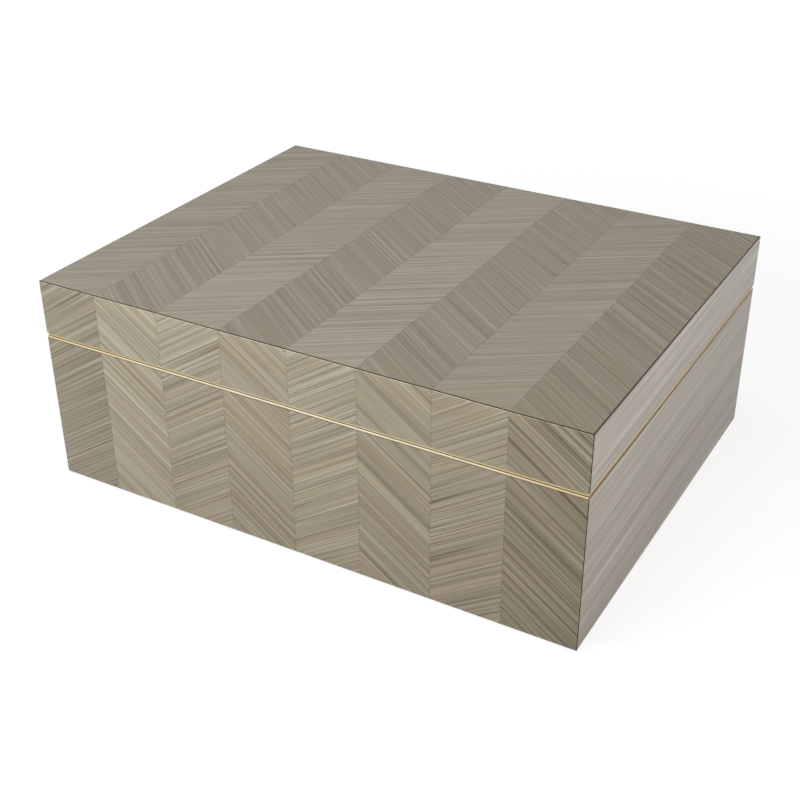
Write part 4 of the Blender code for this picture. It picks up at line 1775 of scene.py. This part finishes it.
        def place(column: int, row: int) -> Point:
            """Place one point of the crown.

            Args:
                column: Which point it is along the pad.
                row: Which point it is across it.

            Returns:
                Its place.
            """
            xi = math.sin(QUARTER * (2 * column / columns - 1))
            eta = math.sin(QUARTER * (2 * row / rows - 1))
            ring = max(abs(xi), abs(eta))
            shrink = 1.0
            if ring > 0:
                power = self.corner_power
                sides = (abs(xi) / ring) ** power + (abs(eta) / ring) ** power
                shrink = 1 - (1 - sides ** (-1 / power)) * ring ** self.corner_reach
            pull_x = self.pad_pull * (1 - eta * eta) * abs(xi) ** self.pull_power
            pull_y = self.pad_pull * (1 - xi * xi) * abs(eta) ** self.pull_power
            x, y = xi * shrink * (half.x - pull_x), eta * shrink * (half.y - pull_y)
            roll = 0.0
            if ring < 1:
                inner = min(max(half.x - abs(x), 0.0), max(half.y - abs(y), 0.0))
                roll = math.sqrt(1 - (1 - min(inner / self.pad_edge, 1.0)) ** 2)
            level = (1 - xi ** self.pad_crown_power) * (1 - eta ** self.pad_crown_power)
            crown = 1 - self.pad_crown_share * (1 - level)
            height = thick * (self.pad_low_share + (1 - self.pad_low_share) * roll * crown)
            height -= self.uneven(x, y, seat) * roll
            return middle.x + x, middle.y + y, seat + facing * height

        shape = bmesh.new()
        grid = [[place(column, row) for column in range(columns + 1)] for row in range(rows + 1)]
        skin_rows(shape, grid, closed=False)
        edge = (grid[0][:-1] + [line[-1] for line in grid[:-1]] + grid[-1][:0:-1]
                + [line[0] for line in grid[:0:-1]])
        foot = [(x, y, seat) for x, y, _ in edge]
        skin_rows(shape, [edge, foot], closed=True, filled=(-1,))
        return finished_mesh(shape, name)

    def build(self) -> None:
        """Make the liner, the floor pad and the lid's pad."""
        suede = self.shelf.get("suede", SUEDE.material)
        for mesh, body, node in (
                (self.liner_mesh(), Body.BASE, "base_liner"),
                (self.pad_mesh("base_suede_floor_pad", "base_floor_pad", 1), Body.BASE,
                 "base_floor_pad"),
                (self.pad_mesh("lid_suede_pad", "lid_lining_pad", -1), Body.LID,
                 "lid_lining_pad")):
            shade_by_angle(mesh)
            piece = link_mesh(mesh.name, mesh, [suede])
            enter(piece, body, Slot.SUEDE, node)


@dataclass
class Felt:
    """The sheet of felt under the base, which the box stands on.

    Attributes:
        shelf: The finishes.
        corner: The round of its corners.
        corner_steps: How many facets make that round.
        fray: How unevenly its cut edge runs.
        fray_scale: How often that changes, per metre.
        edge_points: How many points go along each side.
    """

    shelf: FinishShelf
    corner: float = 4 * MILLIMETRE
    corner_steps: int = 8
    fray: float = 0.12 * MILLIMETRE
    fray_scale: float = 400.0
    edge_points: int = 80

    def outline(self, half_x: float, half_y: float) -> list[tuple[float, float]]:
        """Work out the sheet's outline, anticlockwise from its right side.

        Args:
            half_x: Half its width.
            half_y: Half its length.

        Returns:
            The (x, y) points of the outline.
        """
        points = []
        for turn, (sign_x, sign_y) in enumerate(((1, 1), (-1, 1), (-1, -1), (1, -1))):
            centre = Vector((sign_x * (half_x - self.corner), sign_y * (half_y - self.corner)))
            for step in range(self.corner_steps + 1):
                angle = QUARTER * (turn + step / self.corner_steps)
                points.append(centre + self.corner * Vector((math.cos(angle), math.sin(angle))))
        full = []
        for index, point in enumerate(points):
            after = points[(index + 1) % len(points)]
            pieces = self.edge_points if (after - point).length > self.corner else 1
            full += [point.lerp(after, step / pieces) for step in range(pieces)]
        cut = []
        for point in full:
            drift = self.fray * unevenness(Vector((*point, 0.0)) * self.fray_scale)
            cut.append(tuple(point * (1 - drift / point.length)))
        return cut

    def build(self) -> None:
        """Make the sheet."""
        low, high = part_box("base_felt")
        outline = self.outline(high.x, high.y)
        shape = bmesh.new()
        skin_rows(shape, [[(x, y, z) for x, y in outline] for z in (low.z, high.z)], closed=True,
                  filled=(0, -1))
        mesh = finished_mesh(shape, "base_felt_sheet")
        shade_by_angle(mesh)
        piece = link_mesh(mesh.name, mesh, [self.shelf.get("felt", FELT.material)])
        enter(piece, Body.BASE, Slot.FELT, "base_felt")


@dataclass(frozen=True)
class Lamp:
    """A soft lamp.

    Attributes:
        name: Its name.
        place: Where its middle is.
        size: Its width and height, in metres.
        power: Its power, in watts.
    """

    name: str
    place: Point
    size: tuple[float, float]
    power: float


@dataclass
class Studio:
    """A pale floor, soft lamps and the camera.

    Attributes:
        camera_place: Where the camera stands.
        camera_aim: Which way it looks.
        camera_right: Which way is right in its picture.
        lens: Its lens, in millimetres.
        sensor: Its sensor's width, in millimetres.
        lamps: The lamps.
        lamp_target: What they face.
        ambient: How brightly the room itself lights the box.
        floor_half: Half the floor's side.
        floor_colour: The floor's colour, as it lights the box.
        shown_colour: The colour of the floor that the camera sees, beside its glow.
        glow_near: How much the floor glows near the box.
        glow_far: How much it glows far from it.
        glow_from: How far from the box's middle the glow starts to grow.
        glow_to: How far from there it is full.
    """

    camera_place: Point = (0.31564, -0.56202, 0.40681)
    camera_aim: Point = (-0.430415, 0.748310, -0.504752)
    camera_right: Point = (0.868084, 0.496399, -0.004310)
    lens: float = 58.77
    sensor: float = 36.0
    lamps: tuple[Lamp, ...] = (
        Lamp("key", (-0.70, -1.15, 0.42), (1.7, 0.75), 8.3),
        Lamp("front", (-0.35, -0.80, 0.62), (0.5, 0.5), 1.0),
        Lamp("side", (1.10, -0.45, 0.45), (0.6, 0.6), 4.4),
        Lamp("over", (0.0, -0.10, 1.60), (1.0, 0.8), 3.9),
        Lamp("over_left", (-0.50, -0.25, 1.00), (0.7, 0.7), 1.3),
    )
    lamp_target: Point = (0.0, 0.0, 0.06)
    ambient: float = 0.15
    floor_half: float = 4.0
    floor_colour: Colour = (0.82, 0.82, 0.82)
    shown_colour: Colour = (0.5, 0.5, 0.5)
    glow_near: float = 0.74
    glow_far: float = 1.0
    glow_from: float = 0.35
    glow_to: float = 1.1

    def build_camera(self) -> None:
        """Stand the camera where the photograph was taken from."""
        data = bpy.data.cameras.new("camera")
        data.lens = self.lens
        data.sensor_width = self.sensor
        camera = bpy.data.objects.new("camera", data)
        right, aim = Vector(self.camera_right).normalized(), Vector(self.camera_aim).normalized()
        up = right.cross(aim)
        turn = Matrix((right, up, -aim)).transposed()
        camera.matrix_world = Matrix.Translation(self.camera_place) @ turn.to_4x4()
        bpy.context.scene.collection.objects.link(camera)
        bpy.context.scene.camera = camera

    def build_lamp(self, lamp: Lamp) -> None:
        """Hang a soft lamp.

        Args:
            lamp: The lamp.
        """
        data = bpy.data.lights.new(lamp.name, "AREA")
        data.shape = "RECTANGLE"
        data.size, data.size_y = lamp.size
        data.energy = lamp.power
        item = bpy.data.objects.new(lamp.name, data)
        aim = (Vector(self.lamp_target) - Vector(lamp.place)).to_track_quat("-Z", "Y")
        item.matrix_world = Matrix.Translation(lamp.place) @ aim.to_matrix().to_4x4()
        bpy.context.scene.collection.objects.link(item)

    def build_world(self) -> None:
        """Light the room softly, and show it white behind the box."""
        world = bpy.data.worlds.new("room")
        world.use_nodes = True
        wiring = Wiring(world.node_tree)
        background = world.node_tree.nodes["Background"]
        wiring.feed(background.inputs["Strength"],
                    wiring.remap(wiring.seen(), 0.0, 1.0, self.ambient, 1.0))
        background.inputs["Color"].default_value = (1.0, 1.0, 1.0, 1.0)
        bpy.context.scene.world = world

    def build_floor(self) -> None:
        """Lay a pale floor that shows white but keeps the box's shadow."""
        half = self.floor_half
        mesh = bpy.data.meshes.new("floor")
        mesh.from_pydata([(-half, -half, 0.0), (half, -half, 0.0), (half, half, 0.0),
                          (-half, half, 0.0)], [], [(0, 1, 2, 3)])
        material = bpy.data.materials.new("floor")
        material.use_nodes = True
        nodes = material.node_tree.nodes
        nodes.clear()
        wiring = Wiring(material.node_tree)
        away = wiring.vector("LENGTH", wiring.object_place())
        glow = wiring.remap(away, self.glow_from, self.glow_to, self.glow_near, self.glow_far)
        plain, shown = (wiring.node("ShaderNodeBsdfDiffuse", {"Color": (*colour, 1.0)}).outputs[0]
                        for colour in (self.floor_colour, self.shown_colour))
        lit = wiring.node("ShaderNodeEmission", {"Strength": glow}).outputs[0]
        both = wiring.node("ShaderNodeAddShader", {0: shown, 1: lit}).outputs[0]
        mixed = wiring.node("ShaderNodeMixShader", {0: wiring.seen(), 1: plain, 2: both}).outputs[0]
        wiring.node("ShaderNodeOutputMaterial", {0: mixed})
        link_mesh("floor", mesh, [material])

    def build(self) -> None:
        """Make the camera, the floor, the lamps and the room."""
        self.build_camera()
        self.build_floor()
        self.build_world()
        for lamp in self.lamps:
            self.build_lamp(lamp)
        bpy.context.scene.view_settings.view_transform = "Standard"


def main() -> None:
    """Build and dress the box, then the studio."""
    logging.basicConfig(level=logging.INFO, format="%(message)s")
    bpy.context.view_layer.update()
    shelf, trees = FinishShelf(), SlabTree()
    for assembly in (Carcass(shelf), Marquetry(trees, shelf), PlainVeneers(shelf),
                     RimStrips(trees, shelf), Hinges(shelf), Lining(shelf), Felt(shelf), Studio()):
        LOG.info("building %s", type(assembly).__name__)
        assembly.build()


if __name__ == "__main__":
    main()
